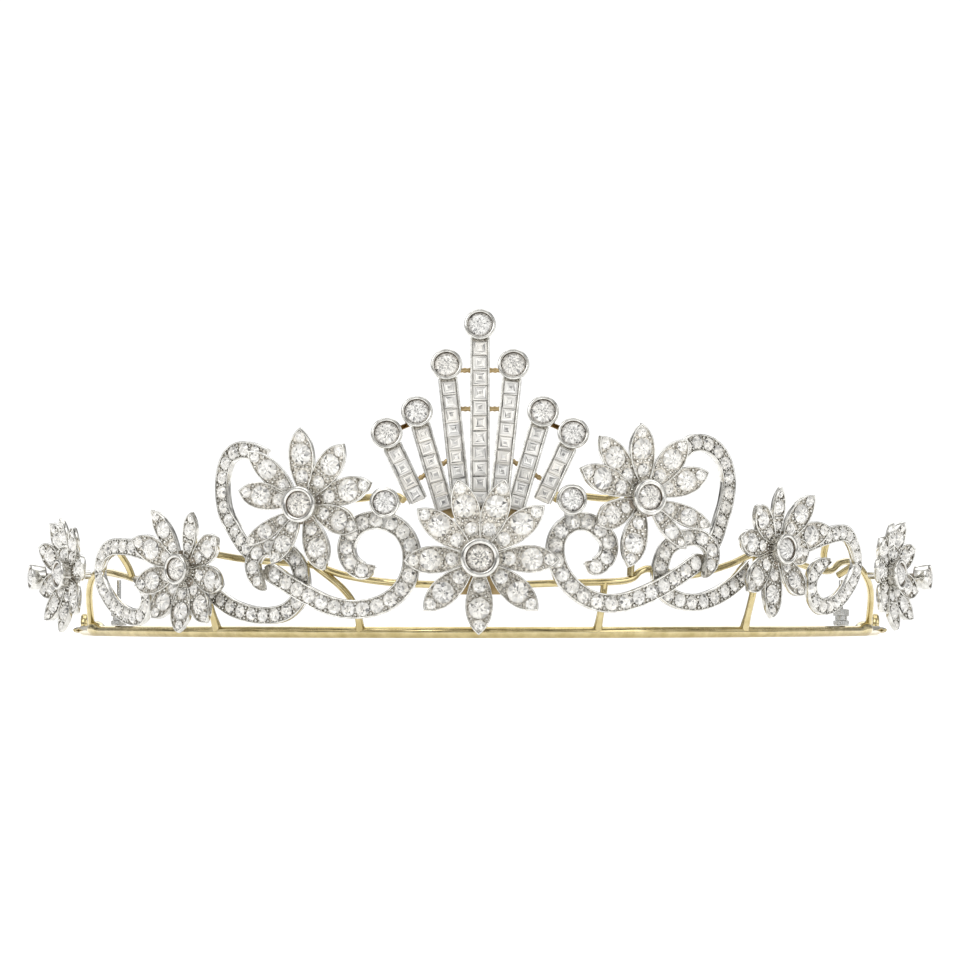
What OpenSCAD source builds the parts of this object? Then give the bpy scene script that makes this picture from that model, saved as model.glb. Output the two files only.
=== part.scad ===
/* [Rail] */
// Radius of the rail's round section
rail_r = 1; // [0.8:0.05:1.3]
// Plan radius of the rail at the front
front_radius = 58; // [50:1:70]
// Plan radius of the rail over the temples
temple_radius = 80; // [70:1:95]
// Plan radius of the rail at the sides
side_radius = 220; // [180:5:260]
// Radius of the rounded end of the rail
rail_end_r = 1.4; // [1.1:0.05:1.8]
// Radius of each rear extension's section where it leaves the rail
extension_r = 1; // [0.7:0.05:1.2]
// Radius of each rear extension's section at its eyelet
extension_tip_r = 0.75; // [0.6:0.05:0.95]
// Outer radius of the end eyelets
eyelet_r = 2.1; // [1.8:0.05:2.4]
// Radius of the hole in each eyelet
eyelet_hole_r = 1.2; // [0.9:0.05:1.3]
// Thickness of the eyelets
eyelet_t = 1.3; // [1:0.1:1.8]

/* [Upper wires] */
// Radius of the gold wires above the rail
wire_r = 0.62; // [0.45:0.01:0.8]
// How far the upper wires stand out in front of the rail
wire_out = 3; // [2.6:0.1:3.3]

/* [Flowers] */
// Width of a petal at its widest
petal_w = 4.7; // [4:0.1:5.4]
// Thickness of the petals
petal_t = 1; // [0.8:0.05:1.2]
// How far the petals lean forward from the flower's plane
petal_lift = 8; // [4:1:10]
// Radius of the disc behind the petals
disc_r = 3.4; // [3:0.1:4]
// How far the back of a flower stands out from the rail
flower_out = 6.9; // [6.8:0.05:7.2]
// Height of a flower's collet above its disc
collet_h = 3; // [2.6:0.1:3.2]

/* [Fringe] */
// Width of a ray of square stones
ray_w = 3.3; // [3:0.1:3.6]
// Depth of a ray from front to back
ray_d = 2.2; // [1.8:0.1:2.6]
// Width of the channel that holds the square stones
channel_w = 2.6; // [2.2:0.1:2.8]
// Depth of that channel
channel_d = 0.9; // [0.6:0.1:1.2]
// How far the fringe leans back
fringe_lean = 12; // [8:1:16]
// Outer radius of the collets at the tips of the rays
fringe_collet_r = 2.7; // [2.5:0.05:2.9]
// Height of those collets
fringe_collet_h = 2.8; // [2.5:0.1:3.2]

/* [Ribbons] */
// Width of the scrolls beside the centre flower
scroll_w = 3.2; // [2.8:0.1:3.4]
// Width of the rings, the lower ribbons and the curls
ribbon_w = 3; // [2.6:0.1:3.1]
// Thickness of every ribbon
ribbon_t = 1.2; // [1:0.05:1.3]
// How far the middle of a scroll stands out from the rail
scroll_out = 6.1; // [6:0.05:6.2]
// How far the middle of a ribbon stands out from the rail
ribbon_out = 4.6; // [4.5:0.05:4.7]

/* [Hidden] */

// The rail's front line, seen from above: arcs that run on into each other, each a radius and a turn
rail_arcs = [[front_radius, 35], [temple_radius, 22], [side_radius, 9.9]];
rail_len = arc_len(0) + arc_len(1) + arc_len(2);
rail_step = 4;
// The rounded end of the rail: [distance from where it starts to swell, share of the end's radius]
rail_swell = 5;
rail_end = [[0, 0.72], [1.5, 0.9], [3, 1], [4, 1], [5, 0.9], [5.7, 0.68], [6.1, 0.3]];
// The rear extension: its turns where it leaves the rail and at the eyelet, and how far back both lie
extension_turn = [73, 87.6];
extension_start_y = 60;
extension_end_y = 111.5;
extension_steps = 12;
extension_inset = 5.5;
// The object's middle from front to back, measured from the rail's front
middle_y = 52.8;
// Clearance around each stone, and the wall of a bezel
gap = 0.05;
bezel_t = 0.45;
white_metal = "gainsboro";
yellow_gold = "goldenrod";
stone_white = "azure";

// Flower rows: [place along the rail, height, turn, collet radius, petals]
// Petal rows: [direction, reach] and, for a petal that stands a little on edge, its share of the full width
centre_petals = [[359, 13.6], [39, 14.2], [72, 14.2], [106, 14.1], [142, 13.7],
                 [182, 13], [223, 13.2], [269, 13.1], [318, 13.4]];
left_large_petals = [[15, 13.9], [51, 13.3], [89, 13.3], [136, 13.5, 0.85], [168, 11.8],
                     [214, 12.7, 0.65], [243, 11.6, 0.75], [291, 12.3], [338, 11.7]];
right_large_petals = [[21, 12.4], [54, 12.5], [97, 12.9], [132, 14], [160, 14],
                      [206, 10.8], [252, 12.8], [309, 11.5, 0.65], [337, 13.1, 0.75]];
left_middle_petals = [[30, 10.8], [72, 10.6, 0.7], [120, 12.4, 0.75], [154, 12.6], [196, 11],
                      [232, 11], [271, 11.3], [306, 11.8], [345, 11.4]];
right_middle_petals = [[356, 7.4], [18, 12.8], [52, 12.4], [94, 11.1, 0.65], [134, 10.6],
                       [172, 11.6], [217, 12.4], [254, 12.8], [303, 9.8]];
left_end_petals = [[10, 10.6], [54, 10.6], [90, 10.6, 0.7], [120, 11.3], [154, 12],
                   [196, 11.6], [228, 11.6], [266, 10.9], [318, 10.8]];
right_end_petals = [[28, 10.6], [70, 10.6], [105, 10, 0.7], [138, 10], [174, 10.4],
                    [222, 10], [266, 10.6], [312, 11.4], [342, 10.6]];
centre_place = [0, 13.5, 0, 3.3, centre_petals];
left_large_place = [-27.5, 22.7, -21, 3.1, left_large_petals];
right_large_place = [25.4, 23.9, 23, 3.05, right_large_petals];
left_middle_place = [-52, 11.9, -40, 2.7, left_middle_petals];
right_middle_place = [52.4, 15.4, 44, 2.7, right_middle_petals];
left_end_place = [-94.7, 11.4, -63, 2.8, left_end_petals];
right_end_place = [94.1, 11.4, 62, 2.8, right_end_petals];
// The collet beyond each end flower: [sideways, up, radius, height] from the flower's centre
terminal_collet = [13.4, -0.4, 2.45, 2.9];
terminal_turn = 10;
// How far the feet of the collets stand above the back plane of their flower, and the stem's radius
terminal_foot = 0.8;
collet_foot = 0.6;
stem_r = 0.9;
// The stem ends a little in front of the wire behind it; the disc is a little thicker than the petals
stem_gap = 0.3;
disc_t = petal_t + 0.2;
petal_root = 1.4;
// Flat arm to the collet beyond an end flower: where it starts, its width and its thickness
arm = [2, 1.6, 1.4];

// Rays of the fringe: [sideways, up, turn, foot]: the middle of the tip collet, the ray's turn
// from upright, and the height where its foot ends, all from the centre flower's collet
rays = [[-15.8, 21.6, 25, 10], [-10.7, 25.4, 16, 8.5], [-5.7, 33.7, 6, 9], [0, 40.8, 0, 9],
        [5.7, 33.7, -6, 9], [10.7, 25.4, -16, 8.5], [15.8, 21.6, -25, 10]];
// How far the middle of the rays stands out from the rail level with the centre flower's collet
fringe_out = 7.9;
// Base plate across the feet of the rays: [width, height, thickness], and where its lower edge lies
base_plate = [14.8, 4.4, 0.8];
base_y = 7.4;
tie_r = 0.42;
// Gold ties that cross behind the rays: [left end, right end] as [sideways, up]
ties = [[[-5.2, 33.2], [5.2, 33.2]], [[-5, 26.4], [5, 26.4]],
        [[-13.6, 23], [-11.8, 23.8]], [[11.8, 23.8], [13.6, 23]],
        [[-11.8, 13.2], [-4.4, 18]], [[4.4, 18], [11.8, 13.2]]];

// Ribbon routes: [along the rail, height, distance in front of the ribbon's own plane]
left_scroll_route = [[-16.2, 12.1, 0], [-18.1, 11.4, 0], [-20.2, 12.9, 0], [-20.8, 15.8, 0],
    [-19.2, 18.9, 0], [-16.2, 20, 0], [-13.2, 19.2, 0], [-11.2, 17, 0], [-10.4, 13.8, 0], [-10.9, 10.4, 0],
    [-12.6, 7.6, 0], [-15.3, 5.7, 0], [-19, 4.9, 0], [-23.2, 5.4, 0], [-27.3, 7.2, 0], [-30.9, 9.2, 0],
    [-33.4, 10.7, 0], [-35.5, 11.9, -0.1]];
right_scroll_route = [[16.2, 12.8, 0], [17.9, 12.1, 0], [19.8, 13.9, 0], [19.9, 16.7, 0], [17.4, 19.3, 0],
    [14.6, 19.7, 0], [12.3, 17.9, 0], [11.5, 15, 0], [12.1, 11.9, 0], [13.7, 9.2, 0], [16.1, 7.1, 0],
    [19.1, 6, 0], [22.4, 6.1, 0], [25.8, 7.2, 0], [29.2, 8.8, 0], [32, 10.5, 0], [34.8, 12.3, 0],
    [37.2, 13.9, -0.1]];
left_ring_route = [[-36.4, 31, 0], [-39.4, 32.2, 0], [-42.2, 32.4, 0], [-44.5, 31.2, 0], [-45.8, 28.5, 0],
    [-46, 25.2, 0], [-45.3, 21.8, 0], [-43.4, 19, 0], [-40.6, 16.5, 1], [-37.2, 14.1, 2.1]];
left_lobe_route = [[-34.6, 8.2, 3], [-36.3, 10.4, 2.9], [-36.9, 13.1, 2.8], [-35.5, 15.3, 2.1],
    [-33, 15.4, 0.9], [-30.9, 13.9, 0], [-29.6, 11.5, 0], [-29.3, 8.7, 0], [-30.2, 6.3, 0], [-32.2, 4.6, 0],
    [-35, 3.9, 0], [-38.9, 4, 0], [-43.3, 5.1, 0], [-47, 7, 0], [-50, 9.2, 0]];
right_ring_route = [[33.4, 31.6, 0], [36.2, 33.5, 0], [39.8, 33.2, 0], [42.6, 31, 0], [43.9, 27.4, 0],
    [43.4, 23.6, 0], [42.2, 20.4, 0], [40.4, 17.6, 0.8], [38.1, 15.2, 1.9]];
right_lobe_route = [[36.2, 10.4, 3], [37.6, 12.8, 2.9], [37.7, 15.3, 2.8], [36, 17.1, 2], [33.4, 17, 0.8],
    [31.2, 15.5, 0], [30, 13, 0], [29.6, 10.3, 0], [30.6, 7.9, 0], [32.8, 6.6, 0], [35.6, 6.1, 0],
    [38.6, 6.4, 0], [42, 7.6, 0], [45.6, 9.6, 0],
    [49, 12.2, 0]];
left_curl_route = [[-61.5, 13.2, 0], [-66.5, 15, 0.6], [-72.2, 16.1, 1.6], [-77.8, 16, 2.2],
    [-81.8, 13.9, 2.2], [-82, 10.2, 2.2], [-77.6, 6.5, 2.2], [-71.4, 4, 2.2], [-66.4, 3.7, 2],
    [-64.3, 5.9, 2], [-64.9, 8.6, 2], [-68.6, 10.6, 2]];
right_curl_route = [[58.5, 15.2, 0], [63, 16.3, 0.8], [69.5, 18, 1.8], [76, 18.6, 2.2], [80, 16, 2.2],
    [80.6, 12.2, 2.2], [76.6, 8.5, 2.2], [71, 5.9, 2.2], [66.4, 5.6, 2], [63.9, 7.6, 2], [63.8, 10.4, 2],
    [66.2, 12.6, 2], [70.4, 13.7, 2]];

// Steps over which a ribbon is drawn in to a hook and to a rounded end
hook_steps = 4;
round_steps = 2;

// Collet on the shoulder of each scroll: [along the rail, height, out, turn]
left_shoulder = [-14.3, 22.9, 5.9, -12];
right_shoulder = [13.7, 23.4, 6.2, 12];
shoulder_r = 2.6;
shoulder_h = 2.7;
// Neck between a shoulder collet and its scroll
neck = [1.8, 2, 0.7];

// Upper wires: [along the rail, height, out from the rail]
left_wire = [[-104, 1.2, 0.3], [-100, 7.8, 2.2], [-94.7, 11.4, 3], [-88, 11.8, 3], [-80, 11, 3],
    [-74.9, 10.4, 3], [-69, 10.8, 3], [-62, 13, 3], [-54, 14.8, 3], [-42.4, 13.6, 3], [-32, 12.8, 3],
    [-28, 12.4, 3], [-22, 10.6, 3], [-14, 9.4, 3], [-3.5, 9, 3]];
right_wire = [[104, 1.2, 0.3], [100, 7.8, 2.2], [94.1, 11.6, 3], [88, 13.6, 3], [82.4, 13.4, 3],
    [78.4, 12, 3], [73, 12, 3], [66, 13, 3], [54, 14.8, 3], [46, 12.8, 3], [40, 11.3, 3],
    [35.6, 10.8, 3], [29.2, 11.8, 3], [27, 11.4, 3], [24.2, 9.8, 3], [14, 9.4, 3], [3.5, 9, 3]];
left_strut = [[-20.8, 1, 0], [-20.8, 5, 2.2], [-23, 8.6, 3], [-28, 12.4, 3]];
right_strut = [[20.4, 1, 0], [20.4, 5.5, 2.2], [20.6, 9.6, 3]];
left_branch = [[-28, 12.4, 3], [-27.6, 22.8, 3], [-21.4, 23.6, 3], [-14.3, 24.2, 3], [-12.2, 23.4, 4]];
right_branch = [[25.2, 10.6, 3], [25.4, 24, 3], [20.6, 23.8, 3], [13.5, 24.4, 3], [12.2, 23.4, 4]];
left_post = [[-52, 1.4, 0.4], [-52, 8.6, 3], [-52, 14.8, 3]];
right_post = [[52.4, 1.4, 0.4], [52.4, 10, 3], [52.4, 14.8, 3]];
// Prongs that rise from the wires behind the curls, and brackets over the screw posts
left_prong = [[-77, 10.8, 3], [-77.2, 12.8, 3.8], [-77.4, 15.2, 5.4]];
right_prong = [[76, 12, 3], [73.8, 14.8, 3.8], [72.4, 17.4, 5.2]];
left_bracket = [[-90, 11.8, 3], [-90, 11.6, 1.4], [-90, 11.2, -0.6]];
right_bracket = [[90, 13.4, 3], [90, 12.4, 1.4], [90, 11.2, -0.6]];
wires = [left_wire, right_wire, left_strut, right_strut, left_branch, right_branch, left_post, right_post,
    left_prong, right_prong, left_bracket, right_bracket];
// Plate behind the centre flower: [width, height, thickness], and where its lower edge lies
back_plate = [7.8, 13.4, 1];
back_plate_z = 7.4;
// Barb outside each rear extension: [distance outwards, distance behind the rail's front, radius]
barb = [[0, 98, 0.6], [0.9, 93.5, 0.6], [1.5, 90, 0.5], [1.8, 87, 0.4]];

// Screw posts: place along the rail, rod, and the nut's tiers as [radius, height]
post_a = 90;
post_r = 0.4;
post_h = 8.3;
nut = [[1.45, 0.9], [1.15, 0.8], [1.45, 1.3]];

// Turn of the rail's arc number i where it starts, and its length
function arc_start(i) = i == 0 ? 0 : arc_start(i - 1) + rail_arcs[i - 1][1];
function arc_len(i) = rail_arcs[i][0] * rail_arcs[i][1] * PI / 180;
// Point of a circular arc of radius r that runs from turn p to turn q
function arc_step(r, p, q) = r * [sin(q) - sin(p), cos(p) - cos(q)];
// Number of the arc that a length along the rail falls on, and what is left of the length there
function arc_no(a, i = 0) = i == len(rail_arcs) - 1 || a <= arc_len(i) ? i : arc_no(a - arc_len(i), i + 1);
function arc_rest(a, i = 0) = i == len(rail_arcs) - 1 || a <= arc_len(i) ? a
    : arc_rest(a - arc_len(i), i + 1);
function arc_base(i) = i == 0 ? [0, 0]
    : arc_base(i - 1) + arc_step(rail_arcs[i - 1][0], arc_start(i - 1), arc_start(i));
// Turn of the rail's outward direction at a signed length from the front
function turn_at(a) = let (i = arc_no(abs(a)))
    sign(a) * (arc_start(i) + arc_rest(abs(a)) / rail_arcs[i][0] * 180 / PI);
function plan_at(a) = let (i = arc_no(abs(a)), q = abs(turn_at(a)),
    p = arc_base(i) + arc_step(rail_arcs[i][0], arc_start(i), q)) [sign(a) * p[0], p[1]];
// Outward direction for a turn, and the place of a point given along, up and out from the rail
function outward(q) = [sin(q), -cos(q), 0];
function place(p) = let (c = plan_at(p[0])) [c[0], c[1] - middle_y, p[1]] + p[2] * outward(turn_at(p[0]));

// Catmull-Rom curve through a list of points, n steps between each two
function clamp_at(pts, i) = pts[max(0, min(len(pts) - 1, i))];
function smooth(pts, n) = [for (i = [0 : len(pts) - 2]) for (k = [0 : n - 1])
    let (t = k / n, a = clamp_at(pts, i - 1), b = pts[i], c = pts[i + 1], d = clamp_at(pts, i + 2))
    0.5 * (2 * b + (c - a) * t + (2 * a - 5 * b + 4 * c - d) * t * t + (3 * b - 3 * c + d - a) * t * t * t),
    pts[len(pts) - 1]];
function unit(v) = v / norm(v);
// Width factor along a ribbon: full, and drawn in to a point over a number of steps at an end
function draw_in(i, steps) = steps > 0 ? 0.12 + 0.88 * sin(min(1, i / steps) * 90) : 1;

// Puts the children on a plane that faces outwards: x along the plane, y up, z out of it
module facing(p, turn, lean = 0) {
    translate(place(p)) rotate([0, 0, turn]) rotate([90 - lean, 0, 0]) children();
}

// Flat ribbon of rectangular section along a route, its plane a given distance out from the rail, with the
// number of steps over which its first and its last end are drawn in
module ribbon(route, w, out, first = 0, last = 0) {
    line = smooth(route, 3);
    n = len(line);
    spots = [for (p = line) place(p + [0, 0, out])];
    rings = [for (i = [0 : n - 1]) let (
        ahead = unit(spots[min(n - 1, i + 1)] - spots[max(0, i - 1)]),
        out = outward(turn_at(line[i][0])),
        side = unit(cross(ahead, out)) * w / 2 * min(draw_in(i, first), draw_in(n - 1 - i, last)),
        up = unit(cross(side, ahead)) * ribbon_t / 2)
        [spots[i] - side - up, spots[i] + side - up, spots[i] + side + up, spots[i] - side + up]];
    polyhedron(
        points = [for (r = rings) each r],
        faces = concat([[3, 2, 1, 0]],
            [for (i = [0 : n - 2]) for (k = [0 : 3])
                let (a = 4 * i + k, b = 4 * i + (k + 1) % 4) each [[a, b + 4, a + 4], [a, b, b + 4]]],
            [[for (k = [0 : 3]) 4 * (n - 1) + k]]));
}

// Tapered bezel cup, back face at the origin, and the seat for a round stone that is cut out of it
module cup(r, h) {
    rotate_extrude($fn = 48) polygon([[0, 0], [r * 0.86, 0], [r, h * 0.7], [r * 0.98, h], [0, h]]);
}
module seat(r, h) {
    s = r - bezel_t;
    rotate_extrude($fn = 48) polygon([[0, h - 1.02 * s], [0.3, h - 1.02 * s], [s + gap, h - 0.5 * s],
        [s + gap, h + 1], [0, h + 1]]);
}

// Round brilliant that sits in a collet of the same radius and height
module stone(r, h) {
    s = r - bezel_t;
    girdle = h - 0.36 * s;
    rotate_extrude($fn = 48) polygon([[0, girdle - 0.6 * s], [s, girdle - 0.03 * s], [s, girdle + 0.03 * s],
        [0.58 * s, girdle + 0.34 * s], [0, girdle + 0.34 * s]]);
}

// Almond-shaped petal of width w from near the centre out to its reach, lifted forward
function petal_share(p) = len(p) > 2 ? p[2] : 1;
module petal(direction, reach, w) {
    len = reach - petal_root;
    bow = (len * len / 4 + w * w / 4) / w;
    rotate([0, 0, direction]) rotate([0, -petal_lift, 0]) translate([petal_root + len / 2, 0, 0])
        linear_extrude(petal_t) intersection() {
            translate([0, bow - w / 2]) circle(bow, $fn = 96);
            translate([0, w / 2 - bow]) circle(bow, $fn = 96);
        }
}

// Puts the children on the back plane of a flower, and on the foot of its collet
module on_flower(row) {
    facing([row[0], row[1], flower_out], row[2]) children();
}
module collet_spot() {
    translate([0, 0, collet_foot]) children();
}
// Puts the children where the collet beyond an end flower stands, side by side with its petals
module terminal_spot(side) {
    translate([side * terminal_collet[0], terminal_collet[1], terminal_foot])
        rotate([0, side * terminal_turn, 0]) children();
}

// Nine petals on a disc, the collet in the middle and a round stem to the wires behind
module flower(row) {
    on_flower(row) {
        difference() {
            union() {
                for (p = row[4]) petal(p[0], p[1], petal_w * petal_share(p));
                cylinder(h = disc_t, r = disc_r, $fn = 48);
                collet_spot() cup(row[3], collet_h);
            }
            collet_spot() seat(row[3], collet_h);
        }
        translate([0, 0, wire_out + wire_r + stem_gap - flower_out])
            cylinder(h = flower_out - wire_out - wire_r, r = stem_r, $fn = 32);
    }
}
module flower_stone(row) {
    on_flower(row) collet_spot() stone(row[3], collet_h);
}

// End flower with one more collet on a flat arm beyond its rear petals
module end_flower(row, side) {
    difference() {
        union() {
            flower(row);
            on_flower(row) {
                terminal_spot(side) cup(terminal_collet[2], terminal_collet[3]);
                translate([0, terminal_collet[1] - arm[1] / 2, petal_t - arm[2]])
                    translate([side > 0 ? arm[0] : -terminal_collet[0], 0, 0])
                    cube([terminal_collet[0] - arm[0], arm[1], arm[2]]);
            }
        }
        on_flower(row) terminal_spot(side) seat(terminal_collet[2], terminal_collet[3]);
    }
}
module terminal_stone(row, side) {
    on_flower(row) terminal_spot(side) stone(terminal_collet[2], terminal_collet[3]);
}

// Places the children in the leaning plane of the fringe, origin level with the centre collet
module fringe_plane() {
    facing([0, centre_place[1], fringe_out], 0, fringe_lean) children();
}
module ray(row) {
    run = (row[1] - row[3]) / cos(row[2]);
    head = fringe_collet_r - 0.2;
    translate([row[0], row[1], 0]) rotate([0, 0, row[2]]) difference() {
        translate([-ray_w / 2, -run, -ray_d]) cube([ray_w, run - head, ray_d]);
        translate([-channel_w / 2, -run - 1, -channel_d]) cube([channel_w, run + 2, channel_d + 1]);
    }
}
// Puts the children at the foot of each ray's tip collet
module tip_spots(numbers) {
    for (i = numbers) translate([rays[i][0], rays[i][1], -ray_d]) children();
}
module fringe_rays() {
    color(white_metal) fringe_plane() difference() {
        union() {
            for (row = rays) ray(row);
            tip_spots([0 : 6]) cup(fringe_collet_r, fringe_collet_h);
            for (t = ties) tie(t[0], t[1]);
            translate([-base_plate[0] / 2, base_y, 0.3 - base_plate[2] - ray_d]) cube(base_plate);
        }
        tip_spots([0 : 6]) seat(fringe_collet_r, fringe_collet_h);
    }
}
module tie(a, b) {
    d = b - a;
    translate([a[0], a[1], -ray_d + 0.4]) rotate([0, 0, atan2(d[1], d[0])]) rotate([0, 90, 0])
        cylinder(h = norm(d), r = tie_r, $fn = 24);
}
module fringe_stone(i) {
    color(stone_white) fringe_plane() tip_spots([i]) stone(fringe_collet_r, fringe_collet_h);
}

// Scroll ribbon with its shoulder collet on a short stem
module scroll(route, shoulder) {
    color(white_metal) {
        ribbon(route, scroll_w, scroll_out, first = hook_steps, last = round_steps);
        facing([shoulder[0], shoulder[1], shoulder[2]], shoulder[3]) {
            difference() {
                cup(shoulder_r, shoulder_h);
                seat(shoulder_r, shoulder_h);
            }
            translate([-neck[0] / 2, -4.2, 0.1]) cube(neck);
        }
    }
}
module scroll_stone(shoulder) {
    color(stone_white) facing([shoulder[0], shoulder[1], shoulder[2]], shoulder[3])
        stone(shoulder_r, shoulder_h);
}

// Round bar through a list of places, each with a direction across the bar and a radius
module bar(spots, across, radii, sides) {
    n = len(spots);
    rings = [for (i = [0 : n - 1]) let (
        ahead = unit(spots[min(n - 1, i + 1)] - spots[max(0, i - 1)]),
        u = unit(cross(ahead, across[i])), v = unit(cross(u, ahead)))
        [for (k = [0 : sides - 1]) let (q = 360 * k / sides)
            spots[i] + radii[i] * (cos(q) * v + sin(q) * u)]];
    polyhedron(
        points = [for (r = rings) each r],
        faces = concat([[for (k = [0 : sides - 1]) k]],
            [for (i = [0 : n - 2]) for (k = [0 : sides - 1])
                let (a = sides * i + k, b = sides * i + (k + 1) % sides)
                each [[a, a + sides, b + sides], [a, b + sides, b]]],
            [[for (k = [sides - 1 : -1 : 0]) sides * (n - 1) + k]]));
}

// Gold wire along a route
module wire(route) {
    line = smooth(route, 2);
    bar([for (p = line) place(p)], [for (p = line) outward(turn_at(p[0]))], [for (p = line) wire_r], 8);
}

// The whole rail, swelling to a rounded end on each side
module rail() {
    half = concat([for (a = [0 : rail_step : rail_len - rail_swell - 1]) [a, rail_r]],
        [for (e = rail_end) [rail_len - rail_swell + e[0], rail_end_r * e[1]]]);
    line = concat([for (i = [len(half) - 1 : -1 : 1]) [-half[i][0], half[i][1]]], half);
    bar([for (p = line) place([p[0], max(rail_r, p[1]), 0])], [for (p = line) outward(turn_at(p[0]))],
        [for (p = line) p[1]], 12);
}

// Rear extension: a bar that leaves the rail near its end and thins towards an upright eyelet
module extension(side) {
    first = extension_turn[0];
    last = extension_turn[1];
    radius = (extension_end_y - extension_start_y) / (cos(first) - cos(last));
    leave = plan_at(rail_len - extension_inset) - [0, middle_y];
    shares = [for (k = [0 : extension_steps]) k / extension_steps];
    spots = [for (t = shares) leave + arc_step(radius, first, first + (last - first) * t)];
    bar([for (p = spots) [side * p[0], p[1], rail_r]], [for (t = shares) [0, 0, 1]],
        [for (t = shares) extension_r + (extension_tip_r - extension_r) * t], 10);
    // Turn of the bar beside each point of the barb
    turns = [for (b = barb) acos(cos(first) - (b[1] - middle_y - leave[1]) / radius)];
    bar([for (i = [0 : len(barb) - 1]) let (p = leave + arc_step(radius, first, turns[i]))
            [side * (p[0] + barb[i][0]), p[1], rail_r]],
        [for (b = barb) [0, 0, 1]], [for (b = barb) b[2]], 8);
    eye = spots[extension_steps] + [0, eyelet_r - 0.5];
    translate([side * eye[0], eye[1], eyelet_r]) rotate([0, 90, 0]) difference() {
        cylinder(h = eyelet_t, r = eyelet_r, center = true, $fn = 48);
        cylinder(h = 2 * eyelet_t, r = eyelet_hole_r, center = true, $fn = 48);
    }
}
module gold_frame() {
    color(yellow_gold) {
        rail();
        extension(-1);
        extension(1);
        for (w = wires) wire(w);
        facing([0, back_plate_z, wire_out], 0) translate([-back_plate[0] / 2, 0, -back_plate[2] / 2])
            cube(back_plate);
    }
}

// Upright screw post with a grooved nut that stands on the rail, under its bracket
module screw_post(side) {
    color("silver") translate(place([side * post_a, 2 * rail_r + gap, 0])) {
        cylinder(h = post_h, r = post_r, $fn = 24);
        cylinder(h = nut[0][1], r = nut[0][0], $fn = 32);
        translate([0, 0, nut[0][1]]) cylinder(h = nut[1][1], r = nut[1][0], $fn = 32);
        translate([0, 0, nut[0][1] + nut[1][1]]) cylinder(h = nut[2][1], r = nut[2][0], $fn = 32);
    }
}

gold_frame();
fringe_rays();
fringe_stone(0);  // fringe_stone_1
fringe_stone(1);  // fringe_stone_2
fringe_stone(2);  // fringe_stone_3
fringe_stone(3);  // fringe_stone_4
fringe_stone(4);  // fringe_stone_5
fringe_stone(5);  // fringe_stone_6
fringe_stone(6);  // fringe_stone_7
color(white_metal) flower(centre_place);  // centre_flower
color(stone_white) flower_stone(centre_place);  // centre_stone
scroll(left_scroll_route, left_shoulder);  // left_scroll
scroll(right_scroll_route, right_shoulder);  // right_scroll
scroll_stone(left_shoulder);  // left_scroll_stone
scroll_stone(right_shoulder);  // right_scroll_stone
color(white_metal) {  // left_ribbon
    ribbon(left_ring_route, ribbon_w, ribbon_out);
    ribbon(left_lobe_route, ribbon_w, ribbon_out, first = hook_steps);
}
color(white_metal) {  // right_ribbon
    ribbon(right_ring_route, ribbon_w, ribbon_out);
    ribbon(right_lobe_route, ribbon_w, ribbon_out, first = hook_steps);
}
color(white_metal)  // left_curl
    ribbon(left_curl_route, ribbon_w, ribbon_out, last = hook_steps);
color(white_metal)  // right_curl
    ribbon(right_curl_route, ribbon_w, ribbon_out, last = hook_steps);
color(white_metal) flower(left_large_place);  // left_large_flower
color(white_metal) flower(right_large_place);  // right_large_flower
color(stone_white) flower_stone(left_large_place);  // left_large_stone
color(stone_white) flower_stone(right_large_place);  // right_large_stone
color(white_metal) flower(left_middle_place);  // left_middle_flower
color(white_metal) flower(right_middle_place);  // right_middle_flower
color(stone_white) flower_stone(left_middle_place);  // left_middle_stone
color(stone_white) flower_stone(right_middle_place);  // right_middle_stone
color(white_metal) end_flower(left_end_place, -1);  // left_end_flower
color(white_metal) end_flower(right_end_place, 1);  // right_end_flower
color(stone_white) flower_stone(left_end_place);  // left_end_stone
color(stone_white) flower_stone(right_end_place);  // right_end_stone
color(stone_white) terminal_stone(left_end_place, -1);  // left_terminal_stone
color(stone_white) terminal_stone(right_end_place, 1);  // right_terminal_stone
screw_post(-1);  // left_screw_post
screw_post(1);  // right_screw_post
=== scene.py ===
"""Fringe tiara: diamonds in white metal on a yellow gold frame, resting on a pale studio floor.

All sizes are in millimetres until a mesh is made. A place on the tiara is [along, up, out]: the length along the
rail from the front (negative to the left), the height above the floor and the distance outwards from the rail.
"""
import logging
from dataclasses import dataclass, field
from enum import Enum

import bpy
import numpy as np
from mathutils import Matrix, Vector


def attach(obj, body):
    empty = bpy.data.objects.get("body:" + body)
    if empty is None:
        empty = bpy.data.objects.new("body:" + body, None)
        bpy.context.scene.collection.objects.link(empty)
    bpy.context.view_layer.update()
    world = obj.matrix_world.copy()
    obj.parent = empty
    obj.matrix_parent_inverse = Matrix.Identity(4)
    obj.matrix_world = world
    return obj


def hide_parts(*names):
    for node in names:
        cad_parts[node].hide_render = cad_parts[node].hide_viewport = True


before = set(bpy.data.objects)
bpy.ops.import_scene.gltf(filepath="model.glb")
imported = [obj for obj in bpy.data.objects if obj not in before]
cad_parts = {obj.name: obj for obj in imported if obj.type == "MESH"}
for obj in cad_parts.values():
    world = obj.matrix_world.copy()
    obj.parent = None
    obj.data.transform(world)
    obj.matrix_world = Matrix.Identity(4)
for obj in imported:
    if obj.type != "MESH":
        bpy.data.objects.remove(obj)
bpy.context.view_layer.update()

Array = np.ndarray
LOG = logging.getLogger("tiara")
MM = 0.001


# Shapes

@dataclass
class Block:
    """Faces of one finish: rows of point numbers, and for each face a painted reflection from 0 to 1, the brightness
    painted on a stone's facet in place of the light that it reflects.
    """

    faces: Array
    finish: int = 0
    painted_reflections: Array | None = None
    tints: Array | None = None


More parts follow.
